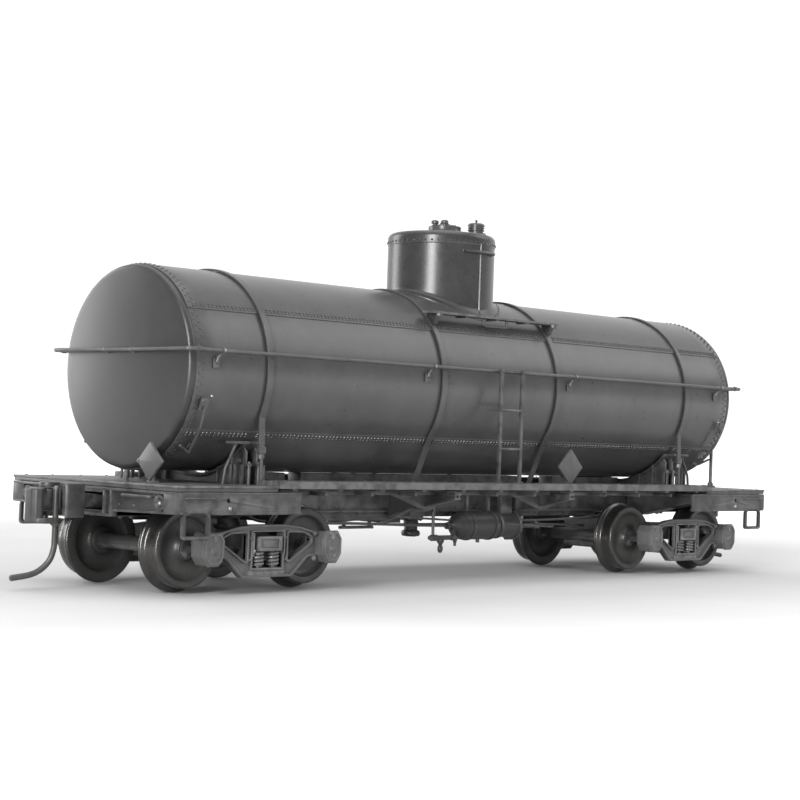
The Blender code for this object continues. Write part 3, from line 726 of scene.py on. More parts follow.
dome_parts = [dome_body(), dome_lid()]
n_r = int(2 * math.pi * 7.85 / 0.90)
for i in range(n_r):
    a = 2 * math.pi * i / n_r
    dome_parts.append(rivet((7.80 * math.cos(a), 7.80 * math.sin(a), 47.80), (math.cos(a), math.sin(a), 0), 0.165, 0.11, 7))
n_r = int(2 * math.pi * 8.6 / 1.05)
for i in range(n_r):                             # rivets that hold the foot flange
    a = 2 * math.pi * (i + 0.5) / n_r
    y = 8.62 * math.sin(a)
    z = TANK_Z + math.sqrt(TANK_R ** 2 - y * y)
    nrm = Vector((0, y, z - TANK_Z)).normalized()
    dome_parts.append(rivet((8.62 * math.cos(a), y, z + 0.17), nrm, 0.15, 0.12, 7))
for i in range(6):                               # rivets down the dome's lapped joint
    z = 42.6 + i * 0.98
    a = math.radians(274.3)
    dome_parts.append(rivet((7.82 * math.cos(a), 7.82 * math.sin(a), z), (math.cos(a), math.sin(a), 0), 0.13, 0.08, 6))
# grab bar on the near side of the dome
ga = math.degrees(math.asin(2.75 / 7.73))
g0, g1 = math.radians(270 - ga), math.radians(270 + ga)
pts = [(7.6 * math.cos(g0), 7.6 * math.sin(g0), 46.42)]
for i in range(13):
    a = g0 + (g1 - g0) * i / 12
    pts.append((8.24 * math.cos(a), 8.24 * math.sin(a), 46.40))
pts.append((7.6 * math.cos(g1), 7.6 * math.sin(g1), 46.42))
dome_parts.append(tube(bend(pts, 0.22, 3), 0.23, 10))
for a in (g0, g1):
    dome_parts.append(lathe([(0.36, -0.1), (0.36, 0.07), (0.30, 0.12)], (0, 0, 0), "Z", 14))
    dome_parts[-1] = moved(dome_parts[-1], frame_to((7.75 * math.cos(a), 7.75 * math.sin(a), 46.42), (math.cos(a), math.sin(a), 0)))
piece("dome_shell", [(M_DOME_SHADE_DARKENED, dome_parts)], "root", ["dome"], 34)

cover = [lathe([(0.0, 50.98), (1.2, 50.97), (1.75, 50.93), (1.84, 50.84), (1.90, 50.78), (2.28, 50.76), (2.38, 50.68),
                (2.38, 50.20), (2.42, 50.12), (2.55, 50.08), (2.60, 50.00), (2.60, 49.86), (2.4, 49.70)], seg=64)]
for deg in (176, 222):
    a = math.radians(deg)
    cx, cy = 1.95 * math.cos(a), 1.95 * math.sin(a)
    cover.append(lathe([(0.36, 50.5), (0.36, 50.98), (0.52, 51.04), (0.57, 51.20), (0.52, 51.42), (0.30, 51.55), (0.0, 51.56)], (cx, cy, 0), "Z", 12))
    cover.append(moved(block((-0.16, -0.42, -0.10), (0.16, 0.42, 0.10), 0.04), Matrix.Translation((cx * 1.1, cy * 1.1, 50.72)) @ Matrix.Rotation(a, 4, "Z")))
for deg in (20, 66, 112, 268, 314):
    a = math.radians(deg)
    cover.append(rivet((2.08 * math.cos(a), 2.08 * math.sin(a), 50.76), (0, 0, 1), 0.16, 0.14, 8))
a = math.radians(20)                             # hinge of the cover
cover.append(moved(block((2.1, -0.55, 50.1), (2.95, 0.55, 50.55), 0.08), Matrix.Rotation(a, 4, "Z")))
cover.append(moved(rod((2.75, -0.75, 50.55), (2.75, 0.75, 50.55), 0.17, 10), Matrix.Rotation(a, 4, "Z")))
cover.append(tube(bend([(-0.9, 0.0, 50.9), (-0.9, 0.0, 51.22), (0.9, 0.0, 51.22), (0.9, 0.0, 50.9)], 0.25), 0.11, 8))
cover = [moved(c, Matrix.Translation((0.28, -0.28, -0.27))) for c in cover]
piece("manway_lid", [(M_TANK, cover)], "root", ["manway_cover"], 34)

vx, vy = 3.55, -3.45
valve = [lathe([(0.0, 51.55), (0.16, 51.55), (0.20, 51.46), (0.95, 51.42), (1.12, 51.34), (1.22, 51.22), (1.25, 51.12),
                (1.25, 50.98), (1.08, 50.94), (1.08, 50.84), (1.22, 50.80), (1.22, 50.66), (1.08, 50.62), (1.08, 50.50),
                (1.22, 50.46), (1.22, 50.32), (1.05, 50.26), (1.05, 50.02), (1.45, 49.96), (1.45, 49.60), (1.2, 49.5)],
               (vx, vy, 0), "Z", 40),
         lathe([(0.0, 51.95), (0.13, 51.93), (0.20, 51.82), (0.13, 51.66), (0.20, 51.46)], (vx, vy, 0), "Z", 14)]
for i in range(6):
    a = 2 * math.pi * i / 6 + 0.3
    valve.append(rivet((vx + 1.30 * math.cos(a), vy + 1.30 * math.sin(a), 49.94), (0, 0, 1), 0.10, 0.10, 6))
valve = [moved(c, Matrix.Translation((0.0, 0.0, -0.28))) for c in valve]
piece("relief_valve", [(M_TANK, valve)], "root", ["safety_valve"], 34)

# ============================================================ dome walks
walk_boards, walk_iron, walk_bright = [], [], []
for y0 in (-11.5, -10.80, -10.10):
    walk_boards.append(block((-13.3, y0, 36.78), (13.3, y0 + 0.65, 37.10), 0.04))
for x in (-12.05, -6.4, 0.0, 6.4, 12.05):
    walk_iron.append(block((x - 0.3, -11.42, 36.58), (x + 0.3, -9.46, 36.80), 0.04))
for x in (-12.05, 12.05):
    walk_iron.append(slab([fillet([(-9.46, 36.62), (-11.45, 36.62), (-11.30, 36.25), (-10.80, 35.35), (-10.52, 35.30)], 0.12)],
                          x - 0.34, x + 0.34, "YZ", 0.05))
    walk_iron.append(block((x - 0.62, -11.62, 36.30), (x + 0.62, -11.36, 37.02), 0.05))
    walk_bright += flat([bolt((x - 0.28, -11.62, 36.62), (0, -1, 0), 0.19, 0.14, stud=0.03)])
    walk_iron += flat([bolt((x, -10.9, 35.82), (0, -0.7, -0.7), 0.22, 0.16, stud=0.03)])
walk_iron.append(tube(bend([(-2.45, -10.9, 36.7), (-2.45, -10.95, 35.72), (2.45, -10.95, 35.72), (2.45, -10.9, 36.7)], 0.30), 0.19, 10))
for x in (-12.05, -6.4, 0.0, 6.4, 12.05):
    for y in (-11.17, -10.47, -9.77):
        walk_iron.append(rivet((x, y, 37.10), (0, 0, 1), 0.13, 0.07, 6))
WALK = [(M_DECK, walk_boards), (M_FRAME, walk_iron), (M_BRIGHT, walk_bright)]
piece("dome_footwalk_near", WALK, "root", ["dome_walk_near"])
piece("dome_footwalk_far", each(WALK, turned), "root", ["dome_walk_far"])

# ============================================================ handrails
RAIL_Y, RAIL_Z, RAIL_R = 13.70, 29.40, 0.26
rail, rail_bright = [], []
pts = [(-55.4, -RAIL_Y, RAIL_Z)]
for i in range(1, 30):
    x = -55.4 + 110.8 * i / 30
    pts.append((x, -RAIL_Y + 0.02 * math.sin(i * 1.9), RAIL_Z - 0.035 * math.sin(i * 0.83) ** 2))
pts.append((55.4, -RAIL_Y, RAIL_Z))
rail.append(tube(pts, RAIL_R, 14))
for x in (-51.6, -14.9, 14.9, 51.6):
    # post from the rail back to a foot that lies against the barrel
    rail.append(tube(route([(x, -13.72, 29.42), (x - 0.1, -13.3, 28.95), (x - 0.3, -13.05, 28.5), (x - 0.4, -12.92, 27.9)], 4), 0.27, 10))
    rail.append(lathe([(0.36, -0.26), (0.36, 0.26), (0.30, 0.32)], (x, -13.7, 29.4), "X", 12))
    rail.append(moved(block((-0.46, -0.62, -0.10), (0.46, 0.62, 0.10), 0.06), frame_to((x - 0.4, -12.84, 27.9), (0, -1, 0))))
    rail += flat([bolt((x - 0.4, -12.94, 27.6), (0, -1, 0), 0.19, 0.13, stud=0.03)])
    rail_bright += [rivet((x, -13.9, 29.46), (0, -0.86, 0.5), 0.20, 0.16, 8)]
RAIL = [(M_WIRE, rail), (M_BRIGHT, rail_bright)]
piece("side_handrail_near", RAIL, "root", ["handrail_near"])
piece("side_handrail_far", each(RAIL, turned), "root", ["handrail_far"])

end_rail = [tube(bend([(-55.3, -13.70, 29.40), (-57.0, -13.70, 29.39), (-57.02, -6.7, 29.36), (-57.03, 0, 29.34), (-57.02, 6.7, 29.36),
                       (-57.0, 13.70, 29.39), (-55.3, 13.70, 29.40)], 1.3, 6), RAIL_R, 14)]
for y in (-13.70, 13.70):
    end_rail.append(lathe([(0.34, -0.30), (0.36, -0.2), (0.36, 0.2), (0.34, 0.30)], (-55.4, y, 29.40), "X", 14))
for y in (-2.7, 2.7):
    end_rail.append(rod((-57.05, y, 29.36), (-56.50, y, 29.30), 0.20, 10))
    end_rail.append(lathe([(0.30, -0.24), (0.30, 0.24)], (-57.02, y, 29.36), "Y", 10))
    end_rail.append(lathe([(0.40, 0.0), (0.40, 0.10), (0.33, 0.15)], (-56.78, y, 29.30), "X", 12))
END_RAIL = [(M_WIRE, end_rail)]
piece("end_handrail_a", END_RAIL, "root", ["handrail_end_a"])
piece("end_handrail_b", each(END_RAIL, turned), "root", ["handrail_end_b"])

# ============================================================ ladders
lad = []
for x in (-2.2, 2.2):
    lad.append(block((x - 0.24, -14.72, 13.9), (x + 0.24, -14.24, 29.7), 0.07))
    lad.append(block((x - 0.55, -14.85, 13.86), (x + 0.55, -14.05, 14.12), 0.05))
    lad += flat([bolt((x + 0.0, -14.72, 29.35), (0, -1, 0), 0.22, 0.15, stud=0.04)])
for z in (18.62, 24.02):
    lad.append(rod((-2.3, -14.48, z), (2.3, -14.48, z), 0.20, 10))
    for x in (-2.2, 2.2):
        lad.append(rivet((x, -14.72, z), (0, -1, 0), 0.15, 0.09, 7))
lad.append(block((-2.42, -14.60, 29.28), (2.42, -14.30, 29.66), 0.06))
for x in (-2.2, 2.2):
    lad.append(rod((x, -14.4, 29.4), (x, -13.7, 29.4), 0.16, 8))
LADDER = [(M_FRAME, lad)]
piece("side_ladder_near", LADDER, "root", ["ladder_near"])
piece("side_ladder_far", each(LADDER, turned), "root", ["ladder_far"])

# ============================================================ decks
deck, deck_iron = [], []
deck.append(slab([fillet([(-60.40, -16.70), (-44.50, -16.70), (-44.50, 16.70), (-60.40, 16.70)], 0.15, 3)], 13.02, 13.30, "XY", 0.07))
deck_iron.append(slab([fillet([(-60.28, -16.58), (-44.60, -16.58), (-44.60, 16.58), (-60.28, 16.58)], 0.1, 2),
                       fillet([(-59.6, -15.9), (-45.2, -15.9), (-45.2, 15.9), (-59.6, 15.9)], 0.1, 2)], 12.60, 13.04, "XY", 0.05))
for y in (-16.35, 16.35):
    for x in (-58.6, -54.6, -50.2, -46.0):
        deck_iron.append(rivet((x, y, 13.30), (0, 0, 1), 0.17, 0.09, 7))
deck_iron.append(rod((-57.2, -2.8, 13.25), (-57.2, -2.8, 14.7), 0.24, 10))
deck_iron.append(lathe([(0.5, 13.25), (0.5, 13.45), (0.42, 13.52)], (-57.2, -2.8, 0), "Z", 6))
DECK = [(M_DECK, deck), (M_FRAME, deck_iron)]
piece("end_deck_a", DECK, "root", ["end_platform_a"])
piece("end_deck_b", each(DECK, turned), "root", ["end_platform_b"])

boards, iron = [], []
for y0, y1 in ((-16.70, -15.32), (-15.24, -13.86), (-13.78, -12.40)):
    boards.append(block((-44.42, y0, 12.98), (44.42, y1, 13.90), 0.07))
for i in range(12):
    x = -41.8 + 83.6 * i / 11
    iron.append(block((x - 0.35, -16.55, 12.75), (x + 0.35, -12.45, 13.02), 0.04))
    for y in (-16.0, -14.55, -13.1):
        iron.append(rivet((x, y, 13.90), (0, 0, 1), 0.17, 0.10, 7))
BOARD = [(M_DECK, boards), (M_FRAME, iron)]
piece("running_boards_near", BOARD, "root", ["running_board_near"])
piece("running_boards_far", each(BOARD, turned), "root", ["running_board_far"])

# ============================================================ sills
sill = []
for s in (-1, 1):
    y = s * 2.75
    sill.append(block((-48.9, min(y, y - s * 0.35), 9.35), (48.9, max(y, y - s * 0.35), 12.50), 0.05))
    sill.append(block((-48.9, min(s * 1.7, s * 3.30), 9.30), (48.9, max(s * 1.7, s * 3.30), 9.62), 0.06))
    sill.append(block((-48.9, min(s * 1.7, s * 2.9), 12.22), (48.9, max(s * 1.7, s * 2.9), 12.55), 0.06))
    for i in range(64):
        x = -47.6 + 95.2 * i / 63
        sill.append(rivet((x, s * 2.76, 9.95), (0, s, 0), 0.15, 0.10, 6))
        if i % 2 == 0:
            sill.append(rivet((x, s * 2.76, 11.9), (0, s, 0), 0.15, 0.10, 6))
sill.append(block((-48.7, -2.5, 12.10), (48.7, 2.5, 12.40), 0.05))
for x in (-36, -24, -6, 6, 24, 36):
    sill.append(block((x - 0.15, -2.7, 9.5), (x + 0.15, 2.7, 12.3), 0.04))
sill.append(block((-34.0, -2.85, 8.62), (34.0, 2.85, 9.40), 0.06))
sill.append(block((-34.0, -2.85, 8.12), (-12.0, 2.85, 8.70), 0.06))
for i in range(40):
    for y in (-2.86, 2.86):
        sill.append(rivet((-33.2 + 66.4 * i / 39, y, 9.02), (0, 1 if y > 0 else -1, 0), 0.13, 0.09, 6))
sill.append(block((-12.3, -2.3, 7.75), (-8.8, 2.3, 8.70), 0.08))
# bottom anchor pads between the sill and the barrel
for x0, x1 in ((-41.6, -30.0), (-27.1, 17.2), (25.1, 41.6)):
    sill.append(block((x0, -1.3, 12.40), (x1, 1.3, 14.53), 0.06))
    for i in range(int((x1 - x0) / 1.6)):
        for y in (-1.3, 1.3):
            sill.append(rivet((x0 + 0.8 + 1.6 * i, y, 14.1), (0, 1 if y > 0 else -1, 0), 0.14, 0.09, 6))
piece("centre_sill_channels", [(M_FRAME, sill)], "root", ["centre_sill"])


def bearer(x, half, tip_z, low_z, low_y, ribs):
    w = 3.36
    out = []
    for s in (-1, 1):
        web = [(s * w, 12.50), (s * 16.05, 12.50), (s * 16.05, tip_z), (s * low_y, low_z), (s * w, low_z)]
        for dx in (-half + 0.18, half - 0.18):
            out.append(slab([web], x + dx - 0.14, x + dx + 0.14, "YZ", 0.04))
        # bottom cover strip that follows the taper
        a, b = Vector((s * 16.1, tip_z)), Vector((s * low_y, low_z))
        d = (b - a).normalized()
        nrm = Vector((-d.y, d.x))
        if nrm.y > 0:
            nrm = -nrm
        strip = [tuple(a), tuple(b), (s * w, low_z), (s * w, low_z - 0.26), tuple(b + nrm * 0.26), tuple(a + nrm * 0.26)]
        out.append(slab([strip], x - half - 0.12, x + half + 0.12, "YZ", 0.05))
        out.append(slab([[(s * w, 12.24), (s * 16.1, 12.24), (s * 16.1, 12.55), (s * w, 12.55)]], x - half - 0.12, x + half + 0.12, "YZ", 0.05))
        for y in ribs:
            z0 = low_z + (tip_z - low_z) * max(0.0, (y - low_y)) / (16.1 - low_y)
            out.append(block((x - half + 0.05, min(s * y, s * (y + 0.25)), z0), (x + half - 0.05, max(s * y, s * (y + 0.25)), 12.4), 0.04))
        for y in (4.3, 6.2, 8.1, 10.0, 11.9, 13.8):
            for dx in (-1, 1):
                out.append(rivet((x + dx * (half - 0.04), s * y, 11.95), (dx, 0, 0), 0.14, 0.09, 6))
    out.append(block((x - half, -3.3, low_z - 0.26), (x + half, 3.3, 9.26), 0.05))
    return out


bol = bearer(-TRUCK_X, 1.9, 11.5, 8.98, 4.6, (5.0, 9.0, 13.0))
bol.append(lathe([(2.9, 8.95), (2.9, 8.80), (2.7, 8.76), (1.0, 8.76)], (-TRUCK_X, 0, 0), "Z", 36))
piece("body_bolster_casting_a", [(M_FRAME, bol)], "root", ["body_bolster_a"])
piece("body_bolster_casting_b", [(M_FRAME, turned(bol))], "root", ["body_bolster_b"])
crs = bearer(-12.05, 0.5, 11.9, 9.21, 3.3, (6.5, 12.0))
piece("cross_bearer_plates_a", [(M_FRAME, crs)], "root", ["cross_bearer_a"])
piece("cross_bearer_plates_b", [(M_FRAME, turned(crs))], "root", ["cross_bearer_b"])


def end_sill():
    out, bright = [], []
    outline = fillet([(-16.6, 12.55), (-16.6, 9.95), (-4.5, 9.70), (-4.1, 9.05), (4.1, 9.05), (4.5, 9.70),
                      (16.6, 9.95), (16.6, 12.55)], 0.15, 2)
    pocket = fillet([(-2.45, 9.72), (2.45, 9.72), (2.45, 11.88), (-2.45, 11.88)], 0.2, 3)
    out.append(slab([outline, pocket], -59.95, -59.45, "YZ", 0.05))
    # flanges along the top and the bottom of the channel
    out.append(block((-60.38, -16.6, 12.20), (-59.5, 16.6, 12.55), 0.07))
    for s in (-1, 1):
        y0, y1 = s * 4.4, s * 16.6
        v, f = block((-60.34, min(y0, y1), 9.72), (-59.5, max(y0, y1), 10.02), 0.06)
        v = [(x, y, z + 0.25 * (abs(y) - 4.4) / 12.2 - 0.02) for x, y, z in v]
        out.append((v, f))
        # rim round the coupler pocket
        out.append(block((-60.30, min(s * 2.42, s * 3.05), 9.30), (-59.5, max(s * 2.42, s * 3.05), 12.30), 0.08))
        out.append(block((-60.36, min(s * 3.9, s * 4.35), 9.15), (-59.5, max(s * 3.9, s * 4.35), 12.30), 0.08))
        # draft box walls behind
        out.append(block((-59.6, min(s * 2.42, s * 3.6), 9.10), (-49.0, max(s * 2.42, s * 3.6), 12.50), 0.06))
        # poling pocket
        out.append(lathe([(0.0, 0.10), (0.40, 0.02), (0.62, -0.25), (0.70, -0.34), (0.95, -0.34), (1.02, -0.22), (1.05, 0.0), (1.12, 0.4)],
                         (-60.0, s * 13.4, 11.10), "X", 28))
        bright.append(rivet((-60.05, s * 13.4, 11.12), (-1, 0, 0), 0.30, 0.34, 10))
        # grab iron
        g = bend([(-59.9, s * 6.9, 11.82), (-60.85, s * 6.9, 11.82), (-60.85, s * 12.1, 11.82), (-59.9, s * 12.1, 11.82)], 0.30)
        out.append(tube(g, 0.17, 10))
        for y in (6.9, 12.1):
            out += flat([bolt((-59.95, s * y, 11.82), (-1, 0, 0), 0.24, 0.12, stud=0.0)])
        for y in (5.3, 8.2, 10.9, 15.6):
            out.append(rivet((-59.95, s * y, 10.6), (-1, 0, 0), 0.17, 0.11, 7))
        out.append(rivet((-59.95, s * 15.2, 11.5), (-1, 0, 0), 0.22, 0.16, 8))
        # corner casting
        out.append(slab([fillet([(-60.38, s * 14.3), (-60.38, s * 16.66), (-58.9, s * 16.66), (-58.9, s * 16.1), (-59.8, s * 16.0), (-59.8, s * 14.3)], 0.12, 2)],
                        10.15, 12.5, "XY", 0.06))
    out.append(block((-60.34, -4.2, 9.04), (-59.3, 4.2, 9.40), 0.07))
    out.append(block((-60.30, -2.6, 11.86), (-59.4, 2.6, 12.3), 0.07))
    out.append(block((-59.6, -3.6, 9.05), (-49.0, 3.6, 9.72), 0.06))
    out.append(block((-59.6, -3.6, 11.90), (-49.0, 3.6, 12.52), 0.06))
    out.append(block((-50.0, -2.6, 9.5), (-49.0, 2.6, 12.0), 0.05))
    out.append(lathe([(0.70, 9.5), (0.70, 12.1)], (-54, 0, 0), "Z", 24))
    out.append(lathe([(1.05, 9.06), (1.05, 8.92), (0.95, 8.86)], (-54, 0, 0), "Z", 24))
    out += flat([bolt((-54, 0, 8.93), (0, 0, -1), 0.5, 0.3)])
    for x in (-57.9, -51.2):
        for y in (-2.9, 2.9):
            out += flat([bolt((x, y, 9.05), (0, 0, -1), 0.28, 0.2)])
    return [(M_FRAME, out), (M_BRIGHT, bright)]


ES = end_sill()
piece("end_sill_assembly_a", ES, "root", ["end_sill_a"])
piece("end_sill_assembly_b", each(ES, turned), "root", ["end_sill_b"])


def side_sill():
    out, bright = [], []
    web = [(-59.35, 12.55), (-59.35, 9.95), (-40.85, 9.95), (-40.85, 12.55)]
    hole = arc(-52.4, 11.55, 0.28, 0, 330, 11)
    out.append(slab([fillet(web, 0.12, 2), hole], -16.62, -16.20, "XZ", 0.05))
    # flanges: top along the deck, bottom turned outwards
    out.append(block((-59.3, -16.70, 12.28), (-40.8, -16.2, 12.55), 0.06))
    out.append(block((-59.3, -16.72, 9.88), (-40.8, -16.1, 10.14), 0.06))
    # stirrup step of flat strip
    outer = fillet([(-59.3, 10.2), (-59.3, 7.00), (-55.1, 7.00), (-55.1, 10.2)], 0.45, 5)
    outer = [(-59.75, 10.2), (-59.75, 9.95)] + fillet([(-59.3, 9.95), (-59.3, 7.00), (-55.1, 7.00), (-55.1, 9.95)], 0.45, 5)[0:] + [(-54.65, 9.95), (-54.65, 10.2)]
    hole2 = fillet([(-58.85, 9.85), (-58.85, 7.45), (-55.55, 7.45), (-55.55, 9.85)], 0.25, 4)
    out.append(slab([outer, hole2], -16.72, -16.22, "XZ", 0.06))
    for x in (-59.5, -54.9):
        out.append(rivet((x, -16.7, 10.08), (0, -1, 0), 0.15, 0.1, 7))
    # side grab iron
    g = bend([(-59.3 + 0.2, -16.6, 11.82), (-59.1, -17.0, 11.82), (-54.8, -17.0, 11.82), (-54.8, -16.6, 11.82)], 0.2)
    g = [Vector((p.x, max(p.y, -16.98), p.z)) for p in g]
    out.append(tube(g, 0.16, 10))
    for x in (-59.1, -54.8):
        out += flat([bolt((x, -16.62, 11.82), (0, -1, 0), 0.22, 0.10, stud=0.0)])
    bright.append(rivet((-52.2, -16.62, 10.62), (0, -1, 0), 0.26, 0.2, 9))
    for x in (-50.2, -47.4, -44.6, -41.9):
        out.append(rivet((x, -16.62, 10.7), (0, -1, 0), 0.15, 0.09, 7))
        out.append(rivet((x, -16.62, 11.9), (0, -1, 0), 0.15, 0.09, 7))
    # brackets back to the deck
    for x in (-56.9, -50.0, -46.0):
        out.append(slab([[(-16.25, 12.5), (-16.25, 10.1), (-15.9, 10.1), (-14.2, 12.2), (-14.2, 12.5)]], x - 0.13, x + 0.13, "YZ", 0.04))
    return [(M_FRAME, out), (M_BRIGHT, bright)]


SS = side_sill()
piece("side_sill_plate_a_near", SS, "root", ["side_sill_a_near"])
piece("side_sill_plate_b_far", each(SS, turned), "root", ["side_sill_b_far"])
piece("side_sill_plate_a_far", each(SS, flip_y), "root", ["side_sill_a_far"])
piece("side_sill_plate_b_near", each(SS, flip_x), "root", ["side_sill_b_near"])


# ============================================================ saddles
def saddle():
    out, bright = [], []
    r = TANK_R + 0.34

    def web(x0, x1, half=10.0, top=17.9):
        pts = [(-half, 12.62), (-half, top - 0.6)]
        y_lim = half - 0.5
        a0 = math.degrees(math.acos(min(1, y_lim / r)))
        n = 22
        for i in range(n + 1):
            a = 180 + a0 + (180 - 2 * a0) * i / n
            y = r * math.cos(math.radians(a))
            z = TANK_Z + r * math.sin(math.radians(a))
            pts.append((y, min(z, top)))
        pts += [(half, top - 0.6), (half, 12.62)]
        return slab([pts], x0, x1, "YZ", 0.05)
    out.append(web(-44.4, -44.1))
    out.append(web(-42.7, -42.4))
    # curved pad under the barrel, between the webs
    pad_o = arc(0, TANK_Z, r - 0.02, 222, 318, 36)
    pad_i = arc(0, TANK_Z, r + 0.36, 318, 222, 36)
    out.append(slab([pad_o + pad_i], -44.7, -42.1, "YZ", 0.06))
    out.append(block((-45.4, -11.6, 12.60), (-41.4, 11.6, 12.95), 0.07))
    for y in (-7.8, -5.2, 5.2, 7.8):
        z = TANK_Z - math.sqrt(max(0.0, r * r - y * y))
        out.append(block((-44.9, y - 0.15, 12.8), (-41.9, y + 0.15, min(z, 17.4)), 0.05))
    for s in (-1, 1):
        yb = s * 10.0
        y0, y1 = min(yb, yb + s * 0.45), max(yb, yb + s * 0.45)
        # anchor bracket beside the saddle: top bar, one diagonal and short ribs
        out.append(block((-47.85, y0, 18.25), (-44.2, y1, 18.62), 0.06))
        out.append(tube([(-46.2, yb + s * 0.2, 18.3), (-47.9, yb + s * 0.3, 15.2), (-48.2, yb + s * 0.3, 13.1)], 0.19, 10))
        for x, w in ((-47.1, 0.16), (-46.4, 0.16), (-45.15, 0.18), (-41.7, 0.16)):
            out.append(block((x - w, y0, 12.9), (x + w, y1, 15.7), 0.05))
        for x in (-44.06, -42.5):
            out.append(rod((x, yb + s * 0.3, 12.9), (x, yb + s * 0.3, 15.8), 0.22, 10))
            out += flat([bolt((x, yb + s * 0.3, 15.6), (0, 0, 1), 0.36, 0.30, stud=0.2)])
        out.append(block((-48.4, min(yb - s * 0.5, yb + s * 1.2), 12.95), (-41.2, max(yb - s * 0.5, yb + s * 1.2), 13.2), 0.05))
        out += flat([bolt((-44.5, s * 8.9, 16.2), (-1, 0, 0), 0.28, 0.2)])
    return [(M_FRAME, out), (M_BRIGHT, bright or [rivet((-43.4, -11.2, 12.95), (0, 0, 1), 0.2, 0.14, 8), rivet((-43.4, 11.2, 12.95), (0, 0, 1), 0.2, 0.14, 8)])]


SAD = saddle()
piece("saddle_casting_a", SAD, "root", ["saddle_a"])
piece("saddle_casting_b", each(SAD, turned), "root", ["saddle_b"])

# ============================================================ placard boards
def placard(u0, v0, half, front, depth, plane):
    d = [(u0, v0 + half), (u0 - half, v0), (u0, v0 - half + 0.05), (u0 + half, v0)]
    return [slab([fillet(d, 0.12, 2)], front, front + depth, plane, 0.07)], d


parts, d = placard(-7.6, 15.85, 2.40, -57.45, 0.40, "YZ")
foot = [block((-57.12, -8.0, 13.3), (-56.75, -7.2, 15.3), 0.06), block((-57.3, -8.2, 13.28), (-56.3, -7.0, 13.55), 0.06)]
knob = flat([bolt((-57.25, -5.35, 15.85), (0, 0.96, 0.2), 0.24, 0.2, stud=0.05)])
CARD = [(M_CARD, parts), (M_FRAME, foot), (M_BRIGHT, knob)]
piece("placard_end_a", CARD, "root", ["placard_board_end_a"])
piece("placard_end_b", each(CARD, turned), "root", ["placard_board_end_b"])
parts, d = placard(14.9, 16.25, 2.66, -13.40, 0.40, "XZ")
foot = [block((14.5, -13.05, 13.9), (15.3, -12.70, 15.3), 0.06), block((14.2, -13.3, 13.88), (15.6, -12.55, 14.1), 0.05)]
CARD2 = [(M_CARD, parts), (M_FRAME, foot)]
piece("placard_side_near", CARD2, "root", ["placard_board_near"])
piece("placard_side_far", each(CARD2, turned), "root", ["placard_board_far"])

# ============================================================ small rods beside the heads
def head_rods():
    out, bright = [], []
    out.append(tube(route([(-53.4, -12.75, 22.6), (-53.1, -11.55, 19.9), (-52.6, -8.95, 17.0)], 6), 0.19, 10))
    out.append(tube([(-52.6, -8.95, 17.0), (-54.6, -9.7, 17.9)], 0.17, 10))
    out.append(moved(block((-0.6, -0.75, -0.1), (0.6, 0.75, 0.14), 0.06), frame_to((-53.4, -12.52, 22.9), (0, -0.94, -0.33))))
    out += flat([bolt((-53.7, -12.68, 23.3), (0, -0.94, -0.33), 0.22, 0.2), bolt((-53.2, -12.5, 22.6), (0, -0.94, -0.33), 0.22, 0.2)])
    bright.append(rivet((-52.4, -12.72, 23.9), (0, -0.94, -0.3), 0.18, 0.18, 8))
    out.append(moved(block((-0.5, -0.5, -0.1), (0.5, 0.5, 0.1), 0.05), frame_to((-52.5, -9.1, 17.75), (0, -0.7, -0.7))))
    return [(M_WIRE, out), (M_BRIGHT, bright)]


HR = head_rods()
piece("release_rod_a_near", HR, "root", ())
piece("release_rod_b_far", each(HR, turned), "root", ())
piece("release_rod_a_far", each(HR, flip_y), "root", ())
piece("release_rod_b_near", each(HR, flip_x), "root", ())

# ============================================================ brake gear and pipes
BY, BZ = -6.1, 7.50
res = [lathe([(0.0, 6.40), (1.55, 6.40), (1.80, 6.30), (1.96, 6.10), (2.00, 5.9), (2.00, -0.30), (1.96, -0.60), (1.84, -0.85),
              (1.70, -1.00), (1.74, -1.10), (1.70, -1.30), (1.45, -1.60), (1.05, -2.05), (0.70, -2.35), (0.60, -2.5),
              (0.42, -2.6), (0.40, -3.0), (0.50, -3.05), (0.50, -3.40), (0.0, -3.42)], (0, BY, BZ), "X", 48)]
for x in (0.6, 5.2):
    res.append(slab([arc(BY, BZ, 2.12, 0, 352, 44), arc(BY, BZ, 1.98, 0, 352, 44)], x - 0.2, x + 0.2, "YZ", 0.04))
    res.append(block((x - 0.22, BY - 0.25, 9.45), (x + 0.22, BY + 0.25, 12.4), 0.05))
    res += flat([bolt((x, BY - 2.08, BZ), (0, -1, 0), 0.20, 0.14, stud=0.04)])
res.append(lathe([(0.28, 0), (0.28, 0.5), (0.2, 0.6)], (3.2, BY, BZ - 2.45), "Z", 8))
piece("air_tank", [(M_FRAME, res)], "root", ["air_reservoir"])

cyl = [lathe([(0.0, 11.20), (0.85, 11.20), (0.9, 11.12), (0.9, 11.0), (1.5, 10.98), (1.82, 10.92), (1.95, 10.82), (1.95, 10.62),
              (1.88, 10.56), (1.75, 10.50), (1.75, 7.12), (1.88, 7.08), (1.95, 7.00), (1.95, 6.66), (1.88, 6.58), (1.6, 6.52),
              (1.5, 6.45), (0.0, 6.45)], (0, BY, BZ), "X", 48)]
for i in range(8):
    a = 2 * math.pi * (i + 0.5) / 8
    for x, s in ((6.80, -1), (10.78, 1)):
        cyl += flat([bolt((x + s * 0.14, BY + 1.72 * math.cos(a), BZ + 1.72 * math.sin(a)), (s, 0, 0), 0.15, 0.13, washer=False, stud=0.03)])
cyl.append(block((7.6, BY - 0.4, 9.1), (10.1, BY + 0.4, 12.4), 0.08))
cyl.append(tube([(11.0, BY, BZ - 0.1), (16.0, BY, BZ - 0.1)], 0.36, 14))
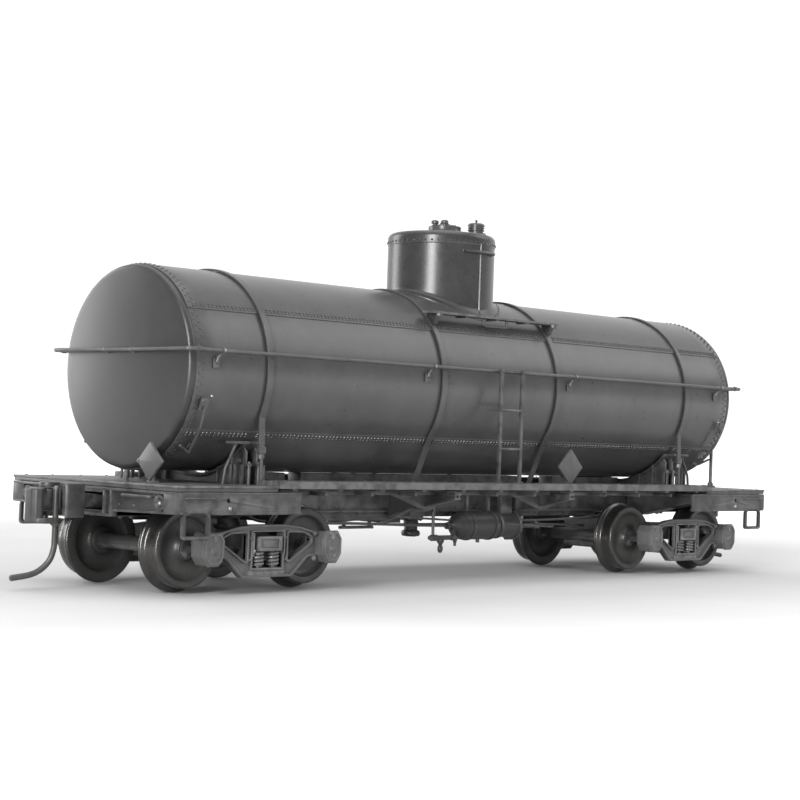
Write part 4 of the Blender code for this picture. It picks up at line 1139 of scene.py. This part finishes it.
# clevis and lever on the push rod
cyl.append(block((15.3, BY - 0.42, BZ - 0.55), (16.5, BY - 0.18, BZ + 0.35), 0.06))
cyl.append(block((15.3, BY + 0.18, BZ - 0.55), (16.5, BY + 0.42, BZ + 0.35), 0.06))
cyl.append(slab([fillet([(15.5, -9.5), (16.3, -9.5), (16.6, -4.6), (16.3, -2.4), (15.7, -2.4)], 0.3, 3)], BZ - 0.22, BZ + 0.02, "XY", 0.05))
cyl += flat([bolt((15.95, BY, BZ + 0.35), (0, 0, 1), 0.24, 0.18)])
piece("brake_cylinder_unit", [(M_FRAME, cyl)], "root", ["brake_cylinder"])

ox = -4.35
outlet = [lathe([(0.0, 9.26), (1.30, 9.26), (1.34, 8.86), (1.70, 8.82), (1.74, 8.76), (1.74, 8.10), (1.68, 8.04), (1.02, 7.98), (0.95, 7.9), (1.06, 7.85),
                 (1.06, 7.45), (0.95, 7.4), (0.95, 6.62), (1.05, 6.52), (1.24, 6.45), (1.30, 6.35), (1.30, 5.85), (1.20, 5.72),
                 (0.85, 5.70), (0.80, 5.65), (0.0, 5.65)], (ox, 0, 0), "Z", 40)]
for i in range(6):
    a = 2 * math.pi * i / 6
    outlet += flat([bolt((ox + 1.42 * math.cos(a), 1.42 * math.sin(a), 8.05), (0, 0, -1), 0.15, 0.14, washer=False, stud=0.03)])
    outlet.append(rivet((ox + 1.28 * math.cos(a), 1.28 * math.sin(a), 6.1), (math.cos(a), math.sin(a), 0), 0.16, 0.12, 6))
piece("bottom_outlet_valve", [(M_FRAME, outlet)], "root", ["bottom_outlet"])

pipes, cocks = [], []
pipes.append(tube(route([(-49.0, -3.9, 10.6), (-40.0, -4.6, 9.4), (-36.0, -4.7, 8.25), (-20.0, -4.8, 7.9), (-10.0, -4.8, 7.6), (-3.3, -6.0, 7.5)], 8), 0.20, 10))
pipes.append(tube(route([(-3.0, -5.4, 7.6), (1.0, -3.6, 7.8), (12.0, -3.6, 7.9), (30.0, -4.4, 8.4), (38.0, -4.4, 9.6), (49.0, -3.9, 10.6)], 8), 0.20, 10))
pipes.append(tube(bend([(-19.5, -8.0, 7.95), (-17.4, -8.4, 8.56), (-9.8, -8.4, 11.2), (-6.6, -8.4, 11.25), (-5.7, -8.3, 12.4)], 0.7), 0.17, 10))
pipes.append(tube(bend([(-8.65, -8.4, 12.4), (-8.55, -8.4, 6.1)], 0.5), 0.22, 10))
cocks.append(lathe([(0.0, -1.0), (0.28, -1.0), (0.34, -0.7), (0.44, -0.6), (0.44, 0.5), (0.34, 0.6), (0.32, 3.4), (0.42, 3.5), (0.42, 4.1), (0.0, 4.2)],
                   (-8.3, -8.4, 6.02), "X", 16))
cocks.append(lathe([(0.0, 6.0), (0.42, 5.90), (0.52, 5.65), (0.46, 5.35), (0.30, 5.2), (0.25, 4.95), (0.38, 4.75), (0.38, 4.3), (0.22, 3.95), (0.0, 3.9)],
                   (-7.0, -8.4, 0), "Z", 18))
cocks.append(tube([(-4.3, -8.4, 6.05), (-3.4, -7.5, 6.3), (-2.4, -6.6, 7.1)], 0.20, 10))
cocks.append(lathe([(0.0, 6.2), (0.32, 6.1), (0.38, 5.85), (0.28, 5.5), (0.18, 5.1), (0.24, 4.9), (0.0, 4.78)], (-4.05, -8.4, 0), "Z", 14))
cocks += flat([bolt((-8.55, -8.7, 6.05), (0, -1, 0), 0.30, 0.2)])
rods = []
rods.append(tube([(16.4, -3.0, BZ - 0.1), (26.0, -2.2, 7.2), (33.0, -1.5, 6.9)], 0.18, 8))
rods.append(tube([(-12.5, -1.7, 8.6), (-26.0, -1.9, 7.6), (-33.0, -1.5, 6.9)], 0.18, 8))
rods.append(tube([(15.8, -9.3, BZ - 0.1), (-12.0, -3.9, 8.75)], 0.16, 8))
rods.append(tube([(-12.4, 0.0, 7.45), (3.6, 0.0, 7.36)], 0.14, 8))
rods.append(block((-18.4, -0.30, 6.86), (-12.1, 0.30, 7.28), 0.07))
rods.append(block((-17.8, -0.22, 7.2), (-17.4, 0.22, 9.4), 0.05))
rods.append(block((-12.9, -0.22, 7.2), (-12.5, 0.22, 9.0), 0.05))
# dead lever and its hanger near the first cross bearer
rods.append(slab([fillet([(-12.9, -4.6), (-12.2, -4.6), (-11.9, 1.0), (-12.7, 1.0)], 0.25, 3)], 8.62, 8.82, "XY", 0.05))
# gusset plates and diagonals beside the cross bearers
gus = []
for x, s in ((-12.05, 1), (12.05, -1), (-12.05, -1), (12.05, 1)):
    for y in (-10.4,):
        gus.append(slab([[(x, 12.5), (x + s * 7.5, 12.5), (x + s * 7.5, 12.2), (x + s * 0.4, 9.9), (x, 9.9)]], y - 0.12, y + 0.12, "XZ", 0.04))
for side in (-1, 1):
    for x0, x1 in ((-41.2, -13.0), (-11.0, 11.0), (13.0, 41.2)):
        gus.append(block((x0, side * 12.75 - 0.2, 12.15), (x1, side * 12.75 + 0.2, 12.70), 0.05))
    for x in (-36.0, -28.0, -20.0, -4.0, 4.0, 20.0, 28.0, 36.0):
        v, f = block((x - 0.2, 3.3, 12.10), (x + 0.2, 16.0, 12.60), 0.05)
        gus.append(([(a, side * b, c) for a, b, c in v], f))
# equipment carriers under the running board on the far side
far = []
far.append(lathe([(0.0, 6.0), (1.0, 6.0), (1.2, 5.8), (1.2, 2.2), (1.0, 2.0), (0.0, 2.0)], (-33.5, 7.4, 9.3), "X", 24))
far.append(block((-32.5, 6.6, 8.0), (-28.0, 8.4, 10.3), 0.15))
far.append(tube(route([(-27.8, 7.2, 8.4), (-24.0, 7.0, 8.2), (-20.0, 6.0, 8.3), (-14.0, 5.0, 9.2)], 5), 0.18, 8))
piece("brake_pipework", [(M_WIRE, pipes), (M_FRAME, cocks), (M_WIRE, rods), (M_FRAME, gus), (M_FRAME, far)], "root", ())

# ============================================================ hand brake
bx, by = 59.1, -6.9
hb = [tube([(bx, by, 13.3), (bx, by, 27.45)], 0.27, 12),
      lathe([(0.85, 13.30), (0.85, 13.48), (0.75, 13.56), (0.48, 13.62), (0.42, 14.0), (0.30, 14.1)], (bx, by, 0), "Z", 24),
      lathe([(0.0, 27.54), (0.30, 27.52), (0.42, 27.35), (0.60, 27.25), (0.62, 26.95), (0.45, 26.85), (0.27, 26.7)], (bx, by, 0), "Z", 20)]
wheel_ring = [(bx + 2.12 * math.cos(2 * math.pi * i / 48), by + 2.12 * math.sin(2 * math.pi * i / 48), 27.1) for i in range(49)]
hb.append(lathe([(2.12 + 0.18 * math.cos(t), 27.1 + 0.18 * math.sin(t)) for t in [2 * math.pi * i / 10 for i in range(11)]], (bx, by, 0), "Z", 48))
for i in range(5):
    a = 2 * math.pi * i / 5 + 0.4
    hb.append(tube(route([(bx + 0.45 * math.cos(a), by + 0.45 * math.sin(a), 27.08), (bx + 1.2 * math.cos(a + 0.06), by + 1.2 * math.sin(a + 0.06), 26.98),
                          (bx + 2.1 * math.cos(a), by + 2.1 * math.sin(a), 27.1)], 4), 0.13, 8))
hb.append(block((57.0, by - 0.35, 20.0), (59.3, by + 0.35, 20.2), 0.05))
hb.append(lathe([(0.42, 20.35), (0.42, 19.85)], (bx, by, 0), "Z", 14))
hb.append(slab([arc(bx + 0.0, by + 1.3, 0.45, 0, 330, 11)], 13.3, 13.62, "XY", 0.05))
piece("hand_brake_staff", [(M_WIRE, hb)], "root", ["hand_brake"])


# ============================================================ trucks
FX = -TRUCK_X


def side_frame():
    def at(pts):
        return [(FX + u, v) for u, v in pts]
    outer = at([(-8.6, 7.40), (-5.0, 8.25), (-2.6, 8.50), (2.6, 8.50), (5.0, 8.25), (8.6, 7.40),
                (11.0, 7.20), (11.0, 4.30), (8.4, 4.60), (6.7, 4.45), (4.0, 2.05), (-4.0, 2.05), (-6.7, 4.45), (-8.4, 4.60), (-11.0, 4.30), (-11.0, 7.20)])
    window = at([(-2.45, 7.60), (-2.45, 3.12), (2.45, 3.12), (2.45, 7.60)])
    left = at([(-3.30, 7.50), (-5.9, 7.42), (-7.15, 6.85), (-7.15, 6.25), (-3.30, 3.85)])
    right = at([(3.30, 7.50), (3.30, 3.85), (7.15, 6.25), (7.15, 6.85), (5.9, 7.42)])
    fo = fillet(outer, 0.4, 4)
    parts = []
    holes = [fillet(window, 0.15, 3), fillet(left, 0.30, 5), fillet(right, 0.30, 5)]
    parts.append(slab([fo] + holes, -13.42, -12.85, "XZ", 0.08))
    # flanges of the T section round the outline and round each opening
    parts.append(slab([fo, fillet(inset(outer, 0.30), 0.3, 4)], -13.80, -12.60, "XZ", 0.09, 2))
    for hole, w in ((window, 0.24), (left, 0.26), (right, 0.26)):
        r = 0.15 if hole is window else 0.30
        parts.append(slab([fillet(inset(hole, -w), r + 0.12, 5), fillet(hole, r, 5)], -13.78, -12.60, "XZ", 0.08, 2))
    # bottom chord block and spring seat ledge
    parts.append(block((FX - 2.9, -13.70, 2.15), (FX + 2.9, -12.65, 2.95), 0.14))
    parts.append(block((FX - 2.55, -13.95, 3.02), (FX + 2.55, -12.45, 3.22), 0.06))
    for u in (-1.9, -0.65, 0.65, 1.9):
        parts.append(rivet((FX + u, -13.70, 2.52), (0, -1, 0), 0.17, 0.10, 8))
    # column guides beside the window
    for s in (-1, 1):
        parts.append(block((FX + s * 2.48 - 0.12, -14.0, 4.9), (FX + s * 2.48 + 0.12, -12.5, 7.5), 0.06))
        parts.append(rivet((FX + s * 2.90, -13.78, 6.9), (0, -1, 0), 0.15, 0.1, 7))
        parts.append(rivet((FX + s * 2.90, -13.78, 4.2), (0, -1, 0), 0.15, 0.1, 7))
    for s in (-1, 1):
        cx = FX + s * AXLE_DX
        box_o = [(cx - 1.55, 6.75), (cx - 0.95, 7.62), (cx + 0.95, 7.62), (cx + 1.55, 6.75), (cx + 1.50, 4.75), (cx + 0.80, 3.72),
                 (cx - 0.80, 3.72), (cx - 1.50, 4.75)]
        parts.append(slab([fillet(box_o, 0.25, 3)], -14.75, -12.45, "XZ", 0.16, 2))
        # box mouth flange, lid with a raised rim, hinge lug and latch
        parts.append(slab([fillet(inset(box_o, -0.10), 0.25, 3)], -14.95, -14.68, "XZ", 0.07))
        parts.append(slab([fillet(inset(box_o, 0.08), 0.25, 3)], -15.10, -14.90, "XZ", 0.08, 2))
        parts.append(slab([fillet(inset(box_o, 0.10), 0.25, 3), fillet(inset(box_o, 0.42), 0.2, 3)], -15.22, -15.05, "XZ", 0.07))
        parts.append(rod((cx - 0.72, -14.98, 7.42), (cx + 0.72, -14.98, 7.42), 0.26, 12))
        parts.append(block((cx - 0.28, -15.26, 6.6), (cx + 0.28, -14.95, 7.55), 0.09))
        parts.append(lathe([(0.0, -0.16), (0.28, -0.14), (0.44, -0.02), (0.50, 0.15)], (cx, -15.12, 5.45), "Y", 18))
        for du, dv in ((-0.42, 6.35), (0.42, 6.35), (-0.40, 4.6), (0.40, 4.6)):
            parts.append(rivet((cx + du, -15.12, dv), (0, -1, 0), 0.13, 0.09, 7))
        # boss where the arms join the box
        for dv in (7.32, 4.25):
            parts += flat([bolt((cx - s * 1.95, -13.8, dv), (0, -1, 0), 0.26, 0.18, stud=0.05)])
    return parts


def springs():
    out = []
    for u in (-1.22, 1.22):
        out.append(spring((FX + u, -13.20, 3.20), 2.12, 0.66, 0.18, 4.1))
        out.append(rod((FX + u, -13.20, 3.2), (FX + u, -13.20, 5.3), 0.30, 10))
    return out


def beam():
    """Truck bolster with framed end recesses, and the spring plank."""
    out = []
    top = [(-13.95, 5.35), (13.95, 5.35), (13.95, 7.05), (12.3, 7.05), (9.0, 7.6), (3.6, 7.6), (3.0, 7.9), (-3.0, 7.9),
           (-3.6, 7.6), (-9.0, 7.6), (-12.3, 7.05), (-13.95, 7.05)]
    out.append(slab([fillet(top, 0.2, 2)], FX - 1.85, FX + 1.85, "YZ", 0.12, 2))
    for s in (-1, 1):
        frame_o = [(FX - 1.95, 5.28), (FX + 1.95, 5.28), (FX + 1.95, 7.10), (FX - 1.95, 7.10)]
        frame_i = [(FX - 1.45, 5.68), (FX + 1.45, 5.68), (FX + 1.45, 6.72), (FX - 1.45, 6.72)]
        out.append(slab([fillet(frame_o, 0.2, 3), fillet(frame_i, 0.12, 3)], min(s * 13.85, s * 14.22), max(s * 13.85, s * 14.22), "XZ", 0.08, 2))
        out.append(lathe([(0.0, 0.12), (0.7, 0.10), (0.85, 0.0), (0.9, -0.2)], (FX, s * 8.2, 7.62), "Z", 20))
        for u in (-0.9, 0.9):
            out.append(rivet((FX + u, s * 13.96, 6.2), (0, s, 0), 0.14, 0.10, 7))
    out.append(lathe([(2.4, 7.4), (2.4, 8.62), (2.32, 8.74), (1.9, 8.75), (1.8, 8.60), (1.05, 8.60), (1.05, 7.6)], (FX, 0, 0), "Z", 48))
    # spring plank: a shallow channel low down between the two frames
    out.append(block((FX - 1.9, -12.7, 3.02), (FX + 1.9, 12.7, 3.24), 0.05))
    for s in (-1, 1):
        x = FX + s * 1.9
        out.append(block((min(x, x - s * 0.2), -12.6, 3.05), (max(x, x - s * 0.2), 12.6, 3.85), 0.05))
    for u in (-1.5, 1.5):
        for y in (-6, 0, 6):
            out.append(rivet((FX + u, y, 7.05 if abs(y) > 12 else 7.55), (0, 0, 1), 0.16, 0.1, 7))
    return out


def wheelset(dx):
    def half(s):
        c = (FX + dx, 0, AXLE_Z)
        face = [(1.05, 9.95), (1.28, 9.90), (1.38, 9.75), (1.48, 9.45), (1.9, 9.18), (2.7, 9.02), (3.45, 9.10), (3.72, 9.32),
                (3.86, 9.70), (3.95, 9.90), (4.05, 9.97), (4.62, 10.0)]
        tread = [(4.62, 10.0), (4.72, 9.98), (4.79, 9.90), (4.81, 9.2), (4.84, 8.35), (4.90, 8.12), (5.02, 7.96), (5.22, 7.86),
                 (5.36, 7.78), (5.44, 7.62), (5.45, 7.50), (5.42, 7.36), (5.33, 7.24), (5.20, 7.20)]
        back = [(5.20, 7.20), (4.30, 7.20), (4.05, 7.26), (3.90, 7.48), (3.6, 7.72), (2.8, 7.82), (2.0, 7.72), (1.72, 7.45),
                (1.66, 7.10), (1.45, 6.95), (1.20, 6.80)]
        return c, face, tread, back
    metal, dark = [], []
    for s in (-1, 1):
        c, face, tread, back = half(s)
        full = face + tread[1:] + back[1:]
        prof = [(r, s * y) for r, y in full]
        v, f = lathe(prof, c, "Y", 72)
        nface, ntread = len(face) - 1, len(tread) - 1
        seg = 72
        f_dark = f[:nface * seg] + f[(nface + ntread) * seg:]
        f_metal = f[nface * seg:(nface + ntread) * seg]
        metal.append((v, f_metal))
        dark.append((v, f_dark))
    axle = [(0.0, 12.90), (0.30, 12.88), (0.44, 12.6), (0.50, 12.3), (0.50, 10.3), (0.72, 10.2), (1.10, 10.1), (1.12, 9.6), (1.15, 7.0), (1.15, 6.6), (1.02, 6.3),
            (0.95, 5.5), (0.92, 0.0)]
    prof = axle + [(r, -y) for r, y in reversed(axle[:-1])]
    dark.append(lathe(prof, (FX + dx, 0, AXLE_Z), "Y", 28))
    return metal, dark


def wheel_piece(name, dx, body, node, how=None):
    metal, dark = wheelset(dx)
    groups = [(M_TREAD, metal), (M_WHEEL, dark)]
    if how:
        groups = each(groups, how)
    ob = piece(name, groups, body, [node], 40)
    bm = bmesh.new()
    bm.from_mesh(ob.data)
    bmesh.ops.remove_doubles(bm, verts=bm.verts, dist=1e-7)
    loose = [v for v in bm.verts if not v.link_faces]
    bmesh.ops.delete(bm, geom=loose, context="VERTS")
    bmesh.ops.recalc_face_normals(bm, faces=bm.faces)
    bm.to_mesh(ob.data)
    bm.free()
    ob.data.shade_smooth()
    ob.data.set_sharp_from_angle(angle=math.radians(40))
    return ob


SF, SPR, BM = side_frame(), springs(), beam()
for end, how in (("a", None), ("b", turned)):
    h = how or (lambda p: p)
    near, far_side = (SF, flip_y(SF)) if end == "a" else (turned(flip_y(SF)), turned(SF))
    sp_near, sp_far = (SPR, flip_y(SPR)) if end == "a" else (turned(flip_y(SPR)), turned(SPR))
    piece("side_frame_%s_near" % end, [(M_PLASTIC, near), (M_SPRING, sp_near)], "truck_" + end, ["truck_%s_frame_near" % end])
    piece("side_frame_%s_far" % end, [(M_PLASTIC, far_side), (M_SPRING, sp_far)], "truck_" + end, ["truck_%s_frame_far" % end])
    piece("bolster_beam_%s" % end, [(M_PLASTIC, h(BM))], "truck_" + end, ["truck_%s_bolster" % end])
wheel_piece("wheels_a1", -AXLE_DX, "wheelset_a1", "wheelset_a1")
wheel_piece("wheels_a2", AXLE_DX, "wheelset_a2", "wheelset_a2")
wheel_piece("wheels_b2", -AXLE_DX, "wheelset_b2", "wheelset_b2", turned)
wheel_piece("wheels_b1", AXLE_DX, "wheelset_b1", "wheelset_b1", turned)

# ============================================================ couplers
KX, KY = -65.20, 1.80


def coupler_head():
    out = []
    out.append(block((-63.0, -0.80, 10.0), (-55.2, 0.80, 11.6), 0.16, 3))
    out.append(slab([arc(-54, 0, 1.55, 0, 355, 47), arc(-54, 0, 0.80, 0, 350, 35)], 10.0, 11.6, "XY", 0.12, 2))
    out.append(block((-62.5, -1.05, 9.8), (-61.6, 1.05, 11.8), 0.15, 2))
    out.append(slab([fillet([(-62.55, -1.5), (-62.55, 1.5), (-63.2, 2.7), (-63.9, 3.0), (-64.1, 3.0), (-64.1, -3.3), (-63.5, -3.3), (-63.0, -2.5)], 0.22, 3)],
                    8.90, 12.95, "XY", 0.14, 2))
    out.append(slab([fillet([(-63.45, -3.30), (-63.75, -2.3), (-64.9, -2.45), (-66.0, -2.90), (-66.35, -3.25), (-66.0, -3.50), (-65.2, -3.52), (-64.3, -3.45)], 0.22, 3)],
                    8.90, 12.95, "XY", 0.14, 2))
    for z0, z1 in ((8.90, 9.45), (12.30, 12.95)):
        out.append(slab([arc(KX, KY, 1.10, 110, 300, 18) + [(-63.7, 1.15), (-63.7, 2.97)]], z0, z1, "XY", 0.09, 2))
    out.append(lathe([(0.0, 13.0), (0.40, 12.98), (0.47, 12.9), (0.47, 12.6)], (KX, KY, 0), "Z", 16))
    out.append(block((-64.3, -1.2, 9.3), (-64.0, 0.6, 12.6), 0.08))
    return out


def knuckle():
    out = []
    claw = fillet([(-66.45, 2.42), (-67.25, 2.80), (-68.0, 2.52), (-68.38, 1.84), (-68.40, 0.62), (-68.05, 0.04), (-67.50, -0.20),
                   (-66.95, -0.08), (-66.88, 0.62), (-66.45, 0.92)], 0.36, 5)
    out.append(slab([claw], 8.10, 12.20, "XY", 0.18, 3))
    out.append(lathe([(0.0, 12.19), (0.75, 12.18), (0.85, 12.08), (0.85, 9.66), (0.75, 9.54), (0.0, 9.54)], (KX, KY, 0), "Z", 32))
    out.append(block((-66.95, 1.20, 9.60), (-65.3, 2.40, 12.12), 0.20, 3))
    out.append(slab([fillet([(-68.00, -0.10), (-68.00, 1.25), (-66.6, 0.95), (-64.75, 0.60), (-64.6, 0.0), (-64.75, -0.60), (-65.6, -0.80), (-67.2, -0.65)], 0.28, 3)],
                    8.05, 8.72, "XY", 0.12, 2))
    pin = route([(-65.30, 0.0, 12.55), (-65.30, 0.0, 8.50), (-65.30, 0.0, 6.60), (-65.38, 0.05, 4.90), (-66.00, 0.30, 3.30), (-67.50, 0.90, 2.05), (-70.15, 1.93, 1.46)], 8)
    out.append(tube(pin, 0.37, 16, 0.4))
    out.append(lathe([(0.0, 8.15), (0.55, 8.12), (0.60, 7.95), (0.52, 7.8), (0.37, 7.75)], (-65.30, 0, 0), "Z", 18))
    return out


CH, KN = coupler_head(), knuckle()
piece("coupler_head_a", [(M_COUPLER, CH)], "coupler_a", ["coupler_a"], 40)
piece("coupler_head_b", [(M_COUPLER, turned(CH))], "coupler_b", ["coupler_b"], 40)
piece("coupler_knuckle_a", [(M_COUPLER, KN)], "knuckle_a", ["knuckle_a"], 40)
piece("coupler_knuckle_b", [(M_COUPLER, turned(KN))], "knuckle_b", ["knuckle_b"], 40)

# ============================================================ kept nodes
FINISH = {"tank_paint": M_TANK, "frame_paint": M_FRAME, "truck_plastic": M_PLASTIC, "wheel_metal": M_WHEEL,
          "wire_steel": M_WIRE, "ballast_steel": M_STEEL, "coupler_metal": M_COUPLER}
for n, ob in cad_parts.items():
    if ob.hide_render:
        continue
    mat = M_STEEL if "ballast" in n else M_WIRE
    if not ob.data.materials:
        ob.data.materials.append(mat)
    for s in ob.material_slots:
        s.link = "OBJECT"
        s.material = mat

# ============================================================ stage, camera, light
def stage_floor():
    bm = bmesh.new()
    bmesh.ops.create_grid(bm, x_segments=4, y_segments=4, size=3.0)
    me = bpy.data.meshes.new("studio_floor")
    bm.to_mesh(me)
    bm.free()
    m, nt = nodes_of("paper_with_painted_shadow_and_glow")
    k = Net(nt)
    co = k.new("ShaderNodeTexCoord").outputs["Object"]
    n1 = k.noise(co, 40.0, 2.0)
    dist = k.new("ShaderNodeVectorMath", operation="LENGTH")
    nt.links.new(co, dist.inputs[0])
    # painted shadow: the paper is coloured darker near the model and pales outwards, standing in for the wagon's shadow
    near = k.mix(k.span(n1, 0.3, 0.7), (0.50, 0.50, 0.50), (0.53, 0.53, 0.53))
    rgb = k.mix(k.span(dist.outputs["Value"], 0.06, 0.24), near, (0.74, 0.74, 0.74))
    bs = k.new("ShaderNodeBsdfPrincipled")
    nt.links.new(rgb, bs.inputs["Base Color"])
    bs.inputs["Roughness"].default_value = 0.9
    bs.inputs["Specular IOR Level"].default_value = 0.15
    # painted light: the paper itself glows, more the further it is from the model, standing in for an evenly lit
    # backdrop
    painted_glow = k.span(dist.outputs["Value"], 0.12, 0.40, 0.0, 0.60)
    sep = k.new("ShaderNodeSeparateXYZ")
    nt.links.new(co, sep.inputs[0])
    # painted light: the paper also glows more towards the camera side
    front = k.span(k.math("MULTIPLY", sep.outputs["Y"], -1.0), 0.030, 0.20, 0.0, 1.10)
    painted_glow = k.math("MAXIMUM", painted_glow, front)
    bs.inputs["Emission Color"].default_value = (1.0, 1.0, 1.0, 1.0)
    nt.links.new(painted_glow, bs.inputs["Emission Strength"])
    out = k.new("ShaderNodeOutputMaterial")
    nt.links.new(bs.outputs[0], out.inputs[0])
    me.materials.append(m)
    ob = bpy.data.objects.new("studio_floor", me)
    bpy.context.scene.collection.objects.link(ob)
    ob.location = (0, 0, -0.00002)
    return ob


stage_floor()

cam_data = bpy.data.cameras.new("view")
cam = bpy.data.objects.new("view", cam_data)
bpy.context.scene.collection.objects.link(cam)
yaw, pitch, roll = math.radians(45.357), math.radians(-1.121), math.radians(2.02)
fwd = Vector((math.sin(yaw) * math.cos(pitch), math.cos(yaw) * math.cos(pitch), -math.sin(pitch)))
right0 = Vector((math.cos(yaw), -math.sin(yaw), 0))
up0 = right0.cross(fwd)
right = math.cos(roll) * right0 + math.sin(roll) * up0
up = -math.sin(roll) * right0 + math.cos(roll) * up0
cam.matrix_world = Matrix(((right.x, up.x, -fwd.x, -0.192942), (right.y, up.y, -fwd.y, -0.183202),
                           (right.z, up.z, -fwd.z, 0.019938), (0, 0, 0, 1)))
cam_data.lens = 82.59
cam_data.sensor_width = 36.0
cam_data.clip_start = 0.01
cam_data.clip_end = 20.0
bpy.context.scene.camera = cam


def area(name, loc, target, sx, sy, watts, spread=180.0):
    d = bpy.data.lights.new(name, "AREA")
    d.shape = "RECTANGLE"
    d.size, d.size_y = sx, sy
    d.energy = watts
    d.spread = math.radians(spread)
    o = bpy.data.objects.new(name, d)
    bpy.context.scene.collection.objects.link(o)
    o.location = loc
    o.rotation_euler = (Vector(target) - Vector(loc)).to_track_quat("-Z", "Y").to_euler()
    return o


world = bpy.data.worlds.new("soft_white")
world.use_nodes = True
wnt = world.node_tree
wk = Net(wnt)
bg = wnt.nodes["Background"]
sep = wk.new("ShaderNodeSeparateXYZ")
wnt.links.new(wk.new("ShaderNodeTexCoord").outputs["Generated"], sep.inputs[0])
back = wk.math("ADD", wk.math("MULTIPLY", sep.outputs["X"], 0.711), wk.math("MULTIPLY", sep.outputs["Y"], 0.703))
back = wk.span(back, -0.05, 0.72)
high = wk.span(sep.outputs["Z"], 0.45, 0.90)
lit = wk.math("MAXIMUM", back, high)
wnt.links.new(wk.span(lit, 0.0, 1.0, 0.34, 1.12), bg.inputs["Strength"])
bg.inputs["Color"].default_value = (1.0, 1.0, 1.0, 1.0)
bpy.context.scene.world = world
area("key", (0.60, -0.42, 0.50), (0.0, 0.0, 0.025), 0.50, 0.45, 1.4)
area("overhead", (0.02, 0.02, 0.95), (0.0, 0.0, 0.0), 0.70, 0.70, 2.4)
area("strip", (-0.545, -0.235, 0.17), (0.0, 0.0, 0.040), 0.14, 0.40, 4.8)
area("left_back", (-0.20, 0.57, 0.12), (0.0, 0.0, 0.030), 0.22, 0.46, 1.7)
low = area("low_front", (0.05, -0.55, 0.03), (0.0, 0.0, 0.020), 0.60, 0.05, 1.5)
low.visible_glossy = False
bpy.context.scene.view_settings.view_transform = "Standard"
